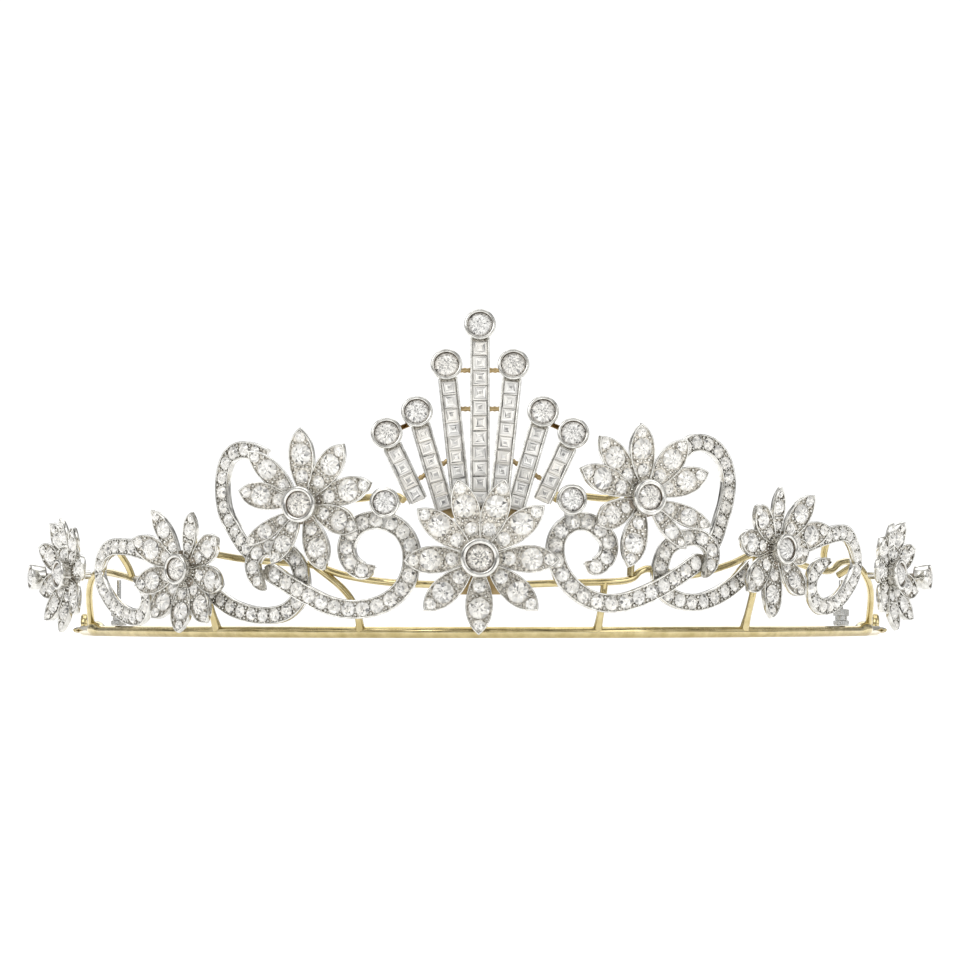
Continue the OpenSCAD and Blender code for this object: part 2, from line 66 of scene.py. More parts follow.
@dataclass
class Shape:
    """Points in millimetres and the blocks of faces between them."""

    points: Array
    blocks: list[Block]

    def outward(self) -> "Shape":
        """Turns every face round if the closed shape's signed volume, the sum of a.(b x c)/6, is negative."""
        volume = 0.0
        for block in self.blocks:
            corners = self.points[block.faces]
            for k in range(1, block.faces.shape[1] - 1):
                volume += np.einsum("ij,ij->", corners[:, 0], np.cross(corners[:, k], corners[:, k + 1]))
        if volume < 0:
            self.blocks = [Block(b.faces[:, ::-1], b.finish, b.painted_reflections, b.tints) for b in self.blocks]
        return self

    def painted(self, finish: int) -> "Shape":
        """The same shape with all its faces in one finish."""
        return Shape(self.points, [Block(b.faces, finish) for b in self.blocks])

    @staticmethod
    def join(parts: list["Shape"]) -> "Shape":
        """One shape that holds all the parts.

        Args:
            parts: the shapes to put together.

        Returns:
            A shape with their points in one list.
        """
        starts = np.cumsum([0] + [len(p.points) for p in parts])
        blocks = [Block(b.faces + s, b.finish, b.painted_reflections, b.tints) for p, s in zip(parts, starts) for b in p.blocks]
        return Shape(np.vstack([p.points for p in parts]), blocks)


def ring_faces(rings: int, sides: int) -> Array:
    """Quads between neighbouring closed rings of points: [i,k], [i,k+1], [i+1,k+1], [i+1,k].

    Args:
        rings: number of rings.
        sides: points in each ring.

    Returns:
        One row of four point numbers a face, ring by ring.
    """
    i, k = np.meshgrid(np.arange(rings - 1), np.arange(sides), indexing="ij")
    nxt = (k + 1) % sides
    return np.stack([i * sides + k, i * sides + nxt, (i + 1) * sides + nxt, (i + 1) * sides + k], -1).reshape(-1, 4)


def shell(rings: Array, finishes: list[int] | None = None, across: bool = False) -> Shape:
    """Closed skin over a stack of rings of points, with a cap on the first and the last.

    Args:
        rings: points as [ring, side, xyz].
        finishes: the finish of each band between two rings, or none for 0 everywhere.
        across: cap with strips from one side of the ring to the other in place of one flat face.

    Returns:
        The closed shape, faces outwards.
    """
    count, sides = rings.shape[:2]
    quads = ring_faces(count, sides).reshape(count - 1, sides, 4)
    finishes = finishes or [0] * (count - 1)
    blocks = [Block(quads[[i for i, f in enumerate(finishes) if f == kind]].reshape(-1, 4), kind)
              for kind in sorted(set(finishes))]
    last = (count - 1) * sides
    if across:
        half = sides // 2
        i = np.arange(1, half - 1)
        strips = np.stack([i, i + 1, sides - i - 1, sides - i], -1)
        tips = np.array([[0, 1, sides - 1], [half - 1, half, half + 1]])
        for offset, turn, kind in ((0, -1, finishes[0]), (last, 1, finishes[-1])):
            blocks += [Block((strips + offset)[:, ::turn], kind), Block((tips + offset)[:, ::turn], kind)]
    else:
        loop = np.arange(sides)[None, :]
        blocks += [Block(loop[:, ::-1], finishes[0]), Block(loop + last, finishes[-1])]
    return Shape(rings.reshape(-1, 3), blocks).outward()


def lathe(profile: Array, sides: int, finishes: list[int] | None = None, flutes: int = 0) -> Shape:
    """Body of revolution about z: [r cos q, r sin q, z] for each [r, z] of the profile.

    Args:
        profile: rows of radius and height, from one cap to the other.
        sides: points round the axis.
        finishes: the finish of each band of the profile.
        flutes: number of shallow flutes round the widest bands, 0 for none.

    Returns:
        The closed shape.
    """
    q = 2 * np.pi * np.arange(sides) / sides
    wide = profile[:, 0] > 0.85 * profile[:, 0].max()
    r = profile[:, 0, None] * (1 - 0.045 * wide[:, None] * (flutes > 0) * (0.5 + 0.5 * np.cos(flutes * q)))
    z = np.broadcast_to(profile[:, 1, None], r.shape)
    return shell(np.stack([r * np.cos(q), r * np.sin(q), z], -1), finishes)


@dataclass(frozen=True)
class Seat:
    """A place with its own axes, as rows of a matrix: x along, y up and z out of the ornament."""

    origin: Array
    axes: Array

    def put(self, points: Array) -> Array:
        """Points given in the seat's axes, as origin + x X + y Y + z Z."""
        return self.origin + points @ self.axes

    def moved(self, x: float, y: float, z: float) -> "Seat":
        """The same axes at another place."""
        return Seat(self.put(np.array([x, y, z])), self.axes)

    def turned(self, degrees: float) -> "Seat":
        """The seat turned about its own z."""
        c, s = np.cos(np.radians(degrees)), np.sin(np.radians(degrees))
        return Seat(self.origin, np.array([[c, s, 0], [-s, c, 0], [0, 0, 1]]) @ self.axes)

    def tilted(self, degrees: float) -> "Seat":
        """The seat tilted about its own y, which lifts x towards z where the angle is negative."""
        c, s = np.cos(np.radians(degrees)), np.sin(np.radians(degrees))
        return Seat(self.origin, np.array([[c, 0, -s], [0, 1, 0], [s, 0, c]]) @ self.axes)

    def place(self, shape: Shape) -> Shape:
        """A shape moved to the seat."""
        return Shape(self.put(shape.points), shape.blocks)


def scatter(shape: Shape, seats: list[Seat], sizes: Array, rng: np.random.Generator | None = None,
            spread: float = 0.4, dark: float = 0.12) -> Shape:
    """Copies of one small shape, each at its seat and size: origin + size (p @ axes).

    Args:
        shape: the shape at unit size.
        seats: where the copies go.
        sizes: one factor a copy.
        rng: where given, every face of every copy gets its own painted reflection around that of its block, and every
            copy a tint.
        spread: how far the painted reflections spread.
        dark: share of the faces painted much darker, as painted dark reflections.

    Returns:
        All copies as one shape.
    """
    origins = np.array([s.origin for s in seats])
    axes = np.array([s.axes for s in seats])
    points = origins[:, None] + np.asarray(sizes)[:, None, None] * np.einsum("pi,nij->npj", shape.points, axes)
    step = len(shape.points) * np.arange(len(seats))[:, None, None]
    blocks = []
    for block in shape.blocks:
        faces = (block.faces[None] + step).reshape(-1, block.faces.shape[1])
        painted_reflections = tints = None
        # Painted reflections: each facet is painted lighter or darker, and some much darker, in place of the light
        # that it reflects.
        if rng is not None:
            base = np.tile(block.painted_reflections, len(seats))
            spark = rng.random(len(base))
            painted_reflections = np.clip(base + spread * (rng.random(len(base)) - 0.5) - 0.5 * (spark < dark), 0.02, 1)
            tints = np.repeat(rng.random(len(seats)), len(block.faces))
        blocks.append(Block(faces, block.finish, painted_reflections, tints))
    return Shape(points.reshape(-1, 3), blocks)


def smooth_line(route: Array, steps: int) -> Array:
    """Catmull-Rom curve through the points of a route, with a number of steps between each two.

    Args:
        route: points as rows.
        steps: steps between neighbours.

    Returns:
        The points of the curve, p(t) = (2b + (c-a)t + (2a-5b+4c-d)t^2 + (3b-3c+d-a)t^3) / 2.
    """
    padded = np.vstack([route[:1], route, route[-1:]])
    a, b, c, d = padded[:-3], padded[1:-2], padded[2:-1], padded[3:]
    t = (np.arange(steps) / steps)[None, :, None]
    a, b, c, d = (x[:, None] for x in (a, b, c, d))
    curve = 0.5 * (2 * b + (c - a) * t + (2 * a - 5 * b + 4 * c - d) * t**2 + (3 * b - 3 * c + d - a) * t**3)
    return np.vstack([curve.reshape(-1, route.shape[1]), route[-1:]])


def unit(vectors: Array) -> Array:
    """Vectors at length one."""
    return vectors / np.linalg.norm(vectors, axis=-1, keepdims=True)


def ahead_of(spots: Array) -> Array:
    """Unit direction of travel at each point of a line, from its neighbours on both sides."""
    padded = np.vstack([spots[:1], spots, spots[-1:]])
    return unit(padded[2:] - padded[:-2])


def sweep(spots: Array, across: Array, profile: Array, scale: Array, finishes: list[int] | None = None) -> Shape:
    """A closed outline carried along a line: spot + scale (u side + v up), side = ahead x across, up = side x ahead.

    Args:
        spots: the line's points.
        across: a direction beside the line at each point, which up leans towards.
        profile: the outline as rows of [u, v].
        scale: a factor on the outline at each point, one or two columns.
        finishes: the finish of each edge of the outline.

    Returns:
        The closed shape.
    """
    ahead = ahead_of(spots)
    side = unit(np.cross(ahead, across))
    up = np.cross(side, ahead)
    scale = np.broadcast_to(np.atleast_2d(scale.T).T, (len(spots), 2))
    u = scale[:, 0, None, None] * profile[None, :, 0, None] * side[:, None]
    v = scale[:, 1, None, None] * profile[None, :, 1, None] * up[:, None]
    rings = spots[:, None] + u + v
    shape = shell(rings)
    if finishes:
        sides = len(profile)
        quads = shape.blocks[0].faces.reshape(-1, sides, 4)
        kinds = np.array(finishes)
        split = [Block(quads[:, kinds == kind].reshape(-1, 4), int(kind)) for kind in np.unique(kinds)]
        shape.blocks = split + shape.blocks[1:]
    return shape


def bar(seat: Seat, spots: Array, section: Array, scale: Array | float = 1.0,
        finishes: list[int] | None = None) -> Shape:
    """A bar in a seat's own axes, with the top of its section towards the seat's z.

    Args:
        seat: the seat.
        spots: points of the bar's middle line.
        section: its outline as rows of [u, v].
        scale: a factor on the outline, one for all or one a point.
        finishes: the finish of each edge of the outline.

    Returns:
        The closed shape.
    """
    up = np.broadcast_to(seat.axes[2], (len(spots), 3))
    return sweep(seat.put(spots), up, section, np.broadcast_to(scale, len(spots)), finishes)


def round_section(sides: int) -> Array:
    """Unit circle of a number of sides, [cos q, sin q]."""
    q = 2 * np.pi * np.arange(sides) / sides
    return np.stack([np.cos(q), np.sin(q)], -1)


def flat_section(w: float, h: float, a: float = 0.2, b: float = 0.2) -> Array:
    """Section of a flat bar of half width w and half height h, its upper corners cut off by a across and b down."""
    return np.array([[-w, -h], [w, -h], [w, h - b], [w - a, h], [a - w, h], [-w, h - b]])


def distances(spots: Array) -> Array:
    """Length of a line from its start to each of its points."""
    return np.concatenate([[0], np.cumsum(np.linalg.norm(np.diff(spots, axis=0), axis=1))])


def crest(start: float, end: float, top: float, rise: float, count: int = 5) -> Array:
    """Rounded top of a rim: half an ellipse from a start to an end, middle + half cos q and top + rise (sin q - 1).

    Args:
        start: where the rim starts across the section.
        end: where it ends.
        top: height of its top.
        rise: height of the rounding.
        count: number of steps.

    Returns:
        Rows of [across, height] from the start to the end.
    """
    q = np.pi * (1 - np.arange(count + 1) / count)
    return np.stack([(start + end) / 2 + (end - start) / 2 * np.cos(q), top + rise * (np.sin(q) - 1)], -1)


# Finishes

class Kind(Enum):
    """What a finish is made of."""

    METAL = "metal"
    GEM = "gem"
    FLOOR = "floor"


def add_node(tree: bpy.types.NodeTree, kind: str, **values: float | tuple[float, ...]) -> bpy.types.Node:
    """A shader node with values on its inputs.

    Args:
        tree: the node tree that gets it.
        kind: its type without the first word.
        values: a value for each named input, with _ for a space in the name.

    Returns:
        The new node.
    """
    made = tree.nodes.new("ShaderNode" + kind)
    for name, value in values.items():
        made.inputs[name.replace("_", " ")].default_value = value
    return made


def colour_mix(tree: bpy.types.NodeTree, first: tuple[float, ...], second: tuple[float, ...]) -> bpy.types.Node:
    """A node that mixes two colours by its Factor."""
    made = tree.nodes.new("ShaderNodeMix")
    made.data_type = "RGBA"
    made.inputs["A"].default_value, made.inputs["B"].default_value = (*first, 1), (*second, 1)
    return made


@dataclass(frozen=True)
class Finish:
    """One surface finish, made as a node material on the piece's own coordinates."""

    name: str
    kind: Kind
    dark: tuple[float, float, float]
    light: tuple[float, float, float]
    roughness: float
    grain: float = 0.0
    grain_size: float = 400.0
    other: tuple[float, float, float] = (1.0, 1.0, 1.0)
    contrast: float = 1.0

    def material(self) -> bpy.types.Material:
        """The Blender material of this finish, made once.

        Returns:
            The material, from bpy.data if it is there already.
        """
        made = bpy.data.materials.get(self.name)
        if made:
            return made
        made = bpy.data.materials.new(self.name)
        made.use_nodes = True
        tree = made.node_tree
        link = tree.links.new
        shader = tree.nodes["Principled BSDF"]
        ramp = colour_mix(tree, self.dark, self.light)
        link(ramp.outputs["Result"], shader.inputs["Base Color"])
        noise = add_node(tree, "TexNoise", Scale=self.grain_size, Detail=3)
        link(add_node(tree, "TexCoord").outputs["Object"], noise.inputs["Vector"])
        if self.kind is Kind.GEM:
            # A stone's colour is the painted reflection on each facet: painted light and shade in place of reflected
            # light.
            painted_reflection, tint = add_node(tree, "Attribute"), add_node(tree, "Attribute")
            painted_reflection.attribute_name, tint.attribute_name = "painted_reflection", "tint"
            hue = colour_mix(tree, self.light, self.other)
            link(painted_reflection.outputs["Fac"], ramp.inputs["Factor"])
            link(tint.outputs["Fac"], hue.inputs["Factor"])
            link(hue.outputs["Result"], ramp.inputs["B"])
            shader.inputs["IOR"].default_value = 2.1
        else:
            half = 0.5 / self.contrast
            spread = add_node(tree, "MapRange", From_Min=0.5 - half, From_Max=0.5 + half)
            link(noise.outputs["Fac"], spread.inputs["Value"])
            link(spread.outputs["Result"], ramp.inputs["Factor"])
        polish = add_node(tree, "MapRange", To_Min=0.6 * self.roughness, To_Max=1.4 * self.roughness)
        link(noise.outputs["Fac"], polish.inputs["Value"])
        link(polish.outputs["Result"], shader.inputs["Roughness"])
        bump = add_node(tree, "Bump", Strength=self.grain, Distance=0.0001)
        link(noise.outputs["Fac"], bump.inputs["Height"])
        link(bump.outputs["Normal"], shader.inputs["Normal"])
        if self.kind is Kind.METAL:
            shader.inputs["Metallic"].default_value = 1.0
        if self.kind is Kind.FLOOR:
            shader.inputs["Specular IOR Level"].default_value = 0.0
            shader.inputs["Emission Color"].default_value = (1, 1, 1, 1)
            shader.inputs["Emission Strength"].default_value = 0.5
        return made


GOLD = Finish("polished_yellow_gold", Kind.METAL, (0.46, 0.37, 0.17), (0.68, 0.59, 0.35), 0.16, 0.05, 500,
              contrast=1.6)
# Painted shade: a darker satin copy of the gold, put on the plate behind the centre flower and on the fringe's base
# plate and ties, which lie in shade.
PAINTED_SHADE_GOLD = Finish("satin_gold_painted_shade", Kind.METAL, (0.3, 0.21, 0.1), (0.55, 0.42, 0.22), 0.34, 0.3, 900, contrast=2.0)
BRIGHT = Finish("bright_white_metal", Kind.METAL, (0.42, 0.41, 0.38), (0.84, 0.83, 0.79), 0.16, 0.08, 900,
                contrast=2.2)
# Grain and painted shade: a speckled white metal whose dark base darkens the recessed beds between stones and the
# backs as painted shade, with a real grain and bump.
BED = Finish("grained_white_metal_painted_shade", Kind.METAL, (0.12, 0.105, 0.08), (0.82, 0.78, 0.7), 0.34, 0.9, 2600, contrast=3.0)
# Painted shade: a dark warm copy of the white metal, put on each collet's foot and inner wall and on each flower
# disc's top, where shade falls.
SHADE = Finish("painted_shade_warm_metal", Kind.METAL, (0.1, 0.08, 0.06), (0.34, 0.3, 0.25), 0.3, 0.4, 1200, contrast=1.6)
STEEL = Finish("satin_steel", Kind.METAL, (0.38, 0.38, 0.37), (0.62, 0.62, 0.6), 0.26, 0.3, 1500)
DIAMOND = Finish("faceted_diamond", Kind.GEM, (0.1, 0.1, 0.1), (0.93, 0.92, 0.885), 0.05, 0.02,
                 other=(0.92, 0.885, 0.81))
WHITE_SET = [BRIGHT, BED, SHADE]
# Number of the painted shade finish in the white set.
SHADED = 2
PALE_FLOOR = Finish("pale_floor", Kind.FLOOR, (0.93, 0.93, 0.93), (0.95, 0.95, 0.95), 0.7, 0.02, 8)


def make_piece(name: str, shape: Shape, finishes: list[Finish], nodes: tuple[str, ...] = (),
               smooth: bool = True) -> bpy.types.Object:
    """Puts a shape into a mesh object at the origin and hands it to the frame.

    Args:
        name: the piece's name.
        shape: its points in millimetres and its faces.
        finishes: the finish of each number that the blocks use.
        nodes: the nodes of the construction model that it stands for.
        smooth: shade smoothly, with sharp edges over 42 degrees, or as flat facets.

    Returns:
        The new object.
    """
    mesh = bpy.data.meshes.new(name)
    faces = [row for block in shape.blocks for row in block.faces.tolist()]
    mesh.from_pydata((shape.points * MM).tolist(), [], faces)
    kinds = np.concatenate([np.full(len(b.faces), b.finish) for b in shape.blocks])
    mesh.polygons.foreach_set("material_index", kinds.astype(np.int32))
    mesh.polygons.foreach_set("use_smooth", np.full(len(kinds), smooth))
    # Stone facets carry their painted reflection and their tint as face attributes.
    if any(b.painted_reflections is not None for b in shape.blocks):
        for label, values in (("painted_reflection", [b.painted_reflections for b in shape.blocks]), ("tint", [b.tints for b in shape.blocks])):
            layer = mesh.attributes.new(label, "FLOAT", "FACE")
            layer.data.foreach_set("value", np.concatenate(values).astype(np.float32))
    mesh.update()
    if smooth:
        mesh.set_sharp_from_angle(angle=np.radians(42))
    for finish in finishes:
        mesh.materials.append(finish.material())
    piece = bpy.data.objects.new(name, mesh)
    bpy.context.scene.collection.objects.link(piece)
    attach(piece, "root")
    if nodes:
        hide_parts(*nodes)
    LOG.info("%s: %d points, %d faces", name, len(shape.points), len(faces))
    return piece


# The rail's line

@dataclass(frozen=True)
class RailLine:
    """Plan line of the rail: arcs that run on into each other from the front, the same to both sides."""

    arcs: tuple[tuple[float, float], ...] = ((58.0, 35.0), (80.0, 22.0), (220.0, 9.9))
    middle_y: float = 52.8

    @property
    def length(self) -> float:
        """Length of the rail from the front to one end."""
        return sum(r * np.radians(t) for r, t in self.arcs)

    def walk(self, along: Array) -> tuple[Array, Array]:
        """Turn and plan point at signed lengths: q grows by s/r, x by r(sin q1 - sin q0), y by r(cos q0 - cos q1).

        Args:
            along: lengths from the front, negative to the left.

        Returns:
            The turn of the outward direction in radians, and x and y as columns.
        """
        left = np.abs(np.asarray(along, float))
        q, x, y = np.zeros_like(left), np.zeros_like(left), np.zeros_like(left)
        for number, (r, t) in enumerate(self.arcs):
            step = left if number == len(self.arcs) - 1 else np.minimum(left, r * np.radians(t))
            after = q + step / r
            x, y = x + r * (np.sin(after) - np.sin(q)), y + r * (np.cos(q) - np.cos(after))
            q, left = after, left - step
        sign = np.sign(along)
        return sign * q, np.stack([sign * x, y - self.middle_y], -1)

    def outward(self, along: Array) -> Array:
        """Outward direction at lengths along the rail, [sin q, -cos q, 0]."""
        q, _ = self.walk(along)
        return np.stack([np.sin(q), -np.cos(q), np.zeros_like(q)], -1)

    def place(self, route: Array) -> Array:
        """Points in space for rows of [along, up, out]."""
        route = np.asarray(route, float)
        _, plan = self.walk(route[..., 0])
        flat = np.concatenate([plan, route[..., 1:2]], -1)
        return flat + route[..., 2:3] * self.outward(route[..., 0])

    def facing(self, place: tuple[float, float, float], turn: float, lean: float = 0.0) -> Seat:
        """Seat that faces outwards at a place, turned about the upright and leaning back.

        Args:
            place: [along, up, out].
            turn: degrees from facing straight forwards.
            lean: degrees that the seat's y leans backwards.

        Returns:
            The seat.
        """
        q, b = np.radians(turn), np.radians(lean)
        x = np.array([np.cos(q), np.sin(q), 0])
        back = np.array([-np.sin(q), np.cos(q), 0])
        y = np.sin(b) * back + np.cos(b) * np.array([0, 0, 1])
        return Seat(self.place(np.array(place)), np.stack([x, y, np.cross(x, y)]))


RAIL = RailLine()


# Stones and settings

def quartered(shape: Shape) -> Shape:
    """A shape of triangles with each cut into four at the middles of its edges.

    Args:
        shape: blocks of triangles with painted reflections.

    Returns:
        The finer shape, its small faces with the painted reflections of the large ones.
    """
    faces = np.vstack([block.faces for block in shape.blocks])
    a, b, c = (shape.points[faces[:, k]] for k in range(3))
    d, e, f = (a + b) / 2, (b + c) / 2, (c + a) / 2
    corners = np.stack([a, d, f, d, b, e, f, e, c, d, e, f], 1).reshape(-1, 3)
    points, numbers = np.unique(np.round(corners, 9), axis=0, return_inverse=True)
    painted_reflections = np.repeat(np.concatenate([block.painted_reflections for block in shape.blocks]), 4)
    return Shape(points, [Block(numbers.reshape(-1, 3), 0, painted_reflections)])


def facets(painted_reflection: Array | float, *corners: Array | int) -> Block:
    """A facet for each row of corner numbers, with its painted reflection."""
    faces = np.stack(np.broadcast_arrays(*corners), -1)
    return Block(faces, 0, np.broadcast_to(painted_reflection, len(faces)))


@dataclass(frozen=True)
class Cut:
    """Facets of a stone at a girdle radius of one; the painted reflections, a brightness painted on each group of
    facets, stand in for the light that each reflects.
    """

    table: float
    height: float
    pavilion: float = 0.6

    def brilliant(self, arrows: float = 0.0, fine: bool = False) -> Shape:
        """Round stone: table, eight stars, eight kites and sixteen halves, closed behind at the girdle.

        The table's edge is an octagon of radius t, the stars' outer points lie at 0.45 t + 0.55 cos 22.5 deg and the
        girdle is a circle of sixteen points. A fine stone has its table cut up to carry painted reflections of the
        facets behind it.

        Args:
            arrows: how much darker the painted reflection of the eight spokes behind the table is.
            fine: cut the table and the kites into smaller facets.

        Returns:
            The stone with its girdle in the plane z = 0 and the table towards +z.
        """
        q8, q16 = np.pi / 4 * np.arange(8), np.pi / 8 * np.arange(16)
        half = np.pi / 8
        star_r = 0.45 * self.table + 0.55 * np.cos(half)

        def ring(radius: float, angles: Array, z: float) -> Array:
            """Points of a circle at a height."""
            return np.stack([radius * np.cos(angles), radius * np.sin(angles), np.full(len(angles), z)], -1)

        h = self.height
        rings = [ring(self.table, q8, h), ring(star_r, q8 + half, 0.56 * h), ring(1, q16, 0),
                 [[0, 0, h], [0, 0, -self.pavilion]], ring(0.4 * self.table, q8 + half, h)]
        corner, star, girdle, middle, back, inner, edge = 0, 8, 16, 32, 33, 34, 42
        i, j = np.arange(8), np.arange(16)
        after, before = (i + 1) % 8, (i - 1) % 8
        wave = 0.5 + 0.5 * np.cos(np.pi * i)
        if fine:
            rings.append(ring(self.table * np.cos(half), q8 + half, h))
            blocks = [facets(0.42 + 0.4 * wave, middle, inner + before, inner + i),
                      facets(0.86 - arrows, corner + i, inner + i, inner + before),
                      facets(0.9, corner + i, edge + i, inner + i),
                      facets(0.62, corner + after, inner + i, edge + i),
                      facets(0.8, corner + i, star + i, edge + i),
                      facets(0.66, edge + i, star + i, corner + after),
                      facets(0.9, corner + i, star + before, girdle + 2 * i),
                      facets(0.6, corner + i, girdle + 2 * i, star + i)]
        else:
            blocks = [facets(0.55 + 0.3 * wave, middle, inner + before, inner + i),
                      facets(0.7, corner + i, inner + i, inner + before),
                      facets(0.85, corner + i, corner + after, inner + i),
                      facets(0.72, corner + i, star + i, corner + after),
                      facets(0.66 + 0.24 * wave, corner + i, star + before, girdle + 2 * i, star + i)]
        blocks += [facets(0.8, star + i, girdle + 2 * i, girdle + 2 * i + 1),
                   facets(0.7, star + i, girdle + 2 * i + 1, girdle + (2 * i + 2) % 16),
                   facets(0.6, girdle + (j + 1) % 16, girdle + j, back)]
        return Shape(np.vstack(rings), blocks).outward()

    def step(self) -> Shape:
        """Square stone of half width one, with three steps down from the table and a nested pattern of painted
        reflections in it.

        Returns:
            The stone, its edge in the plane z = 0 and the table towards +z.
        """
        corner = np.array([[-1, -1], [1, -1], [1, 1], [-1, 1]], float)
        h = self.height
        levels = [(0.92, -self.pavilion), (1.0, -0.08), (0.98, 0.0), (0.84, 0.5 * h), (0.7, 0.85 * h),
                  (self.table, h), (0.66 * self.table, h), (0.32 * self.table, h)]
        rings = np.stack([np.column_stack([r * corner, np.full(4, z)]) for r, z in levels])
        shape = shell(rings)
        quads = shape.blocks[0].faces.reshape(len(levels) - 1, 4, 4)
        # Painted reflections: each step facet is painted lighter or darker in place of the light that it reflects.
        painted_reflections = np.array([[0.5] * 4, [0.66] * 4, [0.9, 0.7, 0.8, 0.66], [0.66, 0.86, 0.6, 0.9],
                          [0.86, 0.66, 0.84, 0.62], [0.66, 0.86, 0.6, 0.78], [0.84, 0.6, 0.78, 0.66]])
        flat = quads.reshape(-1, 4)
        halves = np.stack([flat[:, [0, 1, 2]], flat[:, [0, 2, 3]]], 1).reshape(-1, 3)
        caps = [Block(block.faces, 0, np.array([0.5])) for block in shape.blocks[1:]]
        return Shape(shape.points, [Block(halves, 0, np.repeat(painted_reflections.reshape(-1), 2)), *caps])


PAVE_CUT = Cut(0.5, 0.4).brilliant()
FINE_CUT = Cut(0.5, 0.4).brilliant(0.1, True)
OLD_CUT = quartered(Cut(0.48, 0.4).brilliant(0.16, True))
MODERN_CUT = quartered(Cut(0.58, 0.34).brilliant(0.42, True))
STEP_CUT = Cut(0.62, 0.3, 0.4).step()
BEAD = lathe(np.array([[0.62, -0.7], [0.98, 0.0], [0.82, 0.55], [0.4, 0.92]]), 7)


@dataclass
class Setting:
    """Collects stones and beads while an ornament is built."""

    gems: list[tuple[Seat, float]] = field(default_factory=list)
    beads: list[tuple[Seat, float]] = field(default_factory=list)
    fine_from: float = 1.4
    loose_turn: float = 45.0
    loose_tilt: float = 4.0

    def stone(self, seat: Seat, radius: float) -> None:
        """Adds a small round stone whose girdle lies in the seat."""
        self.gems.append((seat, radius))

    def bead(self, seat: Seat, radius: float) -> None:
        """Adds a grain of metal beside a stone."""
        self.beads.append((seat, radius))

    def bead_shape(self) -> list[Shape]:
        """All beads as one shape in a list, or an empty list."""
        if not self.beads:
            return []
        return [scatter(BEAD, [s for s, _ in self.beads], np.array([r for _, r in self.beads]))]

    def make_gems(self, name: str, seed: int, cut: Shape = PAVE_CUT) -> None:
        """Makes the piece with all the small stones.

        Args:
            name: the piece's name.
            seed: seed of the facets' painted reflections.
            cut: the stone at unit radius.
        """
        rng = np.random.default_rng(seed)
        loose, steady, spread, dark = (0.0, 0.4, 0.72, 0.13) if cut is STEP_CUT else (1.0, 1.0, 0.5, 0.15)
        turns = rng.uniform(0, self.loose_turn, len(self.gems)) * loose
        tilts = rng.uniform(-self.loose_tilt, self.loose_tilt, len(self.gems)) * steady
        seats = [s.turned(float(q)).tilted(float(p)) for (s, _), q, p in zip(self.gems, turns, tilts)]
        sizes = np.array([r for _, r in self.gems])
        parts = []
        for shape, picked in ((cut, sizes <= self.fine_from), (FINE_CUT, sizes > self.fine_from)):
            if picked.any():
                chosen = [seat for seat, wanted in zip(seats, picked) if wanted]
                parts.append(scatter(shape, chosen, sizes[picked], rng, spread=spread, dark=dark))
        make_piece(name, Shape.join(parts), [DIAMOND], smooth=False)


@dataclass(frozen=True)
class Collet:
    """Round tapered bezel with one stone: outer radius at the lip and height."""

    radius: float
    height: float
    lip: float = 0.6
    girdle: float = 0.26
    grip: float = 0.03

    def cup(self, seat: Seat) -> Shape:
        """The bezel as a lathed shape, back face on the seat."""
        r, h = self.radius, self.height
        inner = r - self.lip
        outside = np.array([[0.5 * r, 0.15], [0.7 * r, 0], [0.84 * r, 0], [0.88 * r, 0.08 * h], [0.93 * r, 0.36 * h],
                            [0.99 * r, 0.68 * h]])
        lip = crest(r, inner, h, 0.24, 6)
        inside = np.array([[inner - self.grip, h - 0.34], [inner - 0.1, h - 0.9]])
        # The foot and the inner wall below the lip take the painted shade finish.
        kinds = [SHADED] * 3 + [0] * (len(outside) + len(lip) - 5) + [SHADED] * 3
        return seat.place(lathe(np.vstack([outside, lip, inside]), 40, kinds))

    def stone(self, name: str, node: str, seat: Seat, seed: int, cut: Shape = OLD_CUT) -> None:
        """Makes the stone that stands for a node of the construction model.

        Args:
            name: the piece's name.
            node: the node that it stands for.
            seat: the collet's seat.
            seed: seed of the facets' painted reflections.
            cut: the stone at unit radius.
        """
        size = self.radius - self.lip + self.grip
        rng = np.random.default_rng(seed)
        spot = seat.moved(0, 0, self.height - self.girdle * size).turned(float(rng.uniform(0, 45)))
        shape = scatter(cut, [spot], np.array([size]), rng, spread=0.75, dark=0.2)
        make_piece(name, shape, [DIAMOND], (node,), smooth=False)


# Flowers

DISC = np.array([[1.0, -0.1], [3.0, -0.1], [3.4, 0.1], [3.4, 1.05], [3.2, 1.2], [2.2, 1.3]])
STEM = np.array([[0.7, -3.0], [0.85, -2.9], [0.9, -0.6], [1.6, -0.1], [1.6, 0.2]])


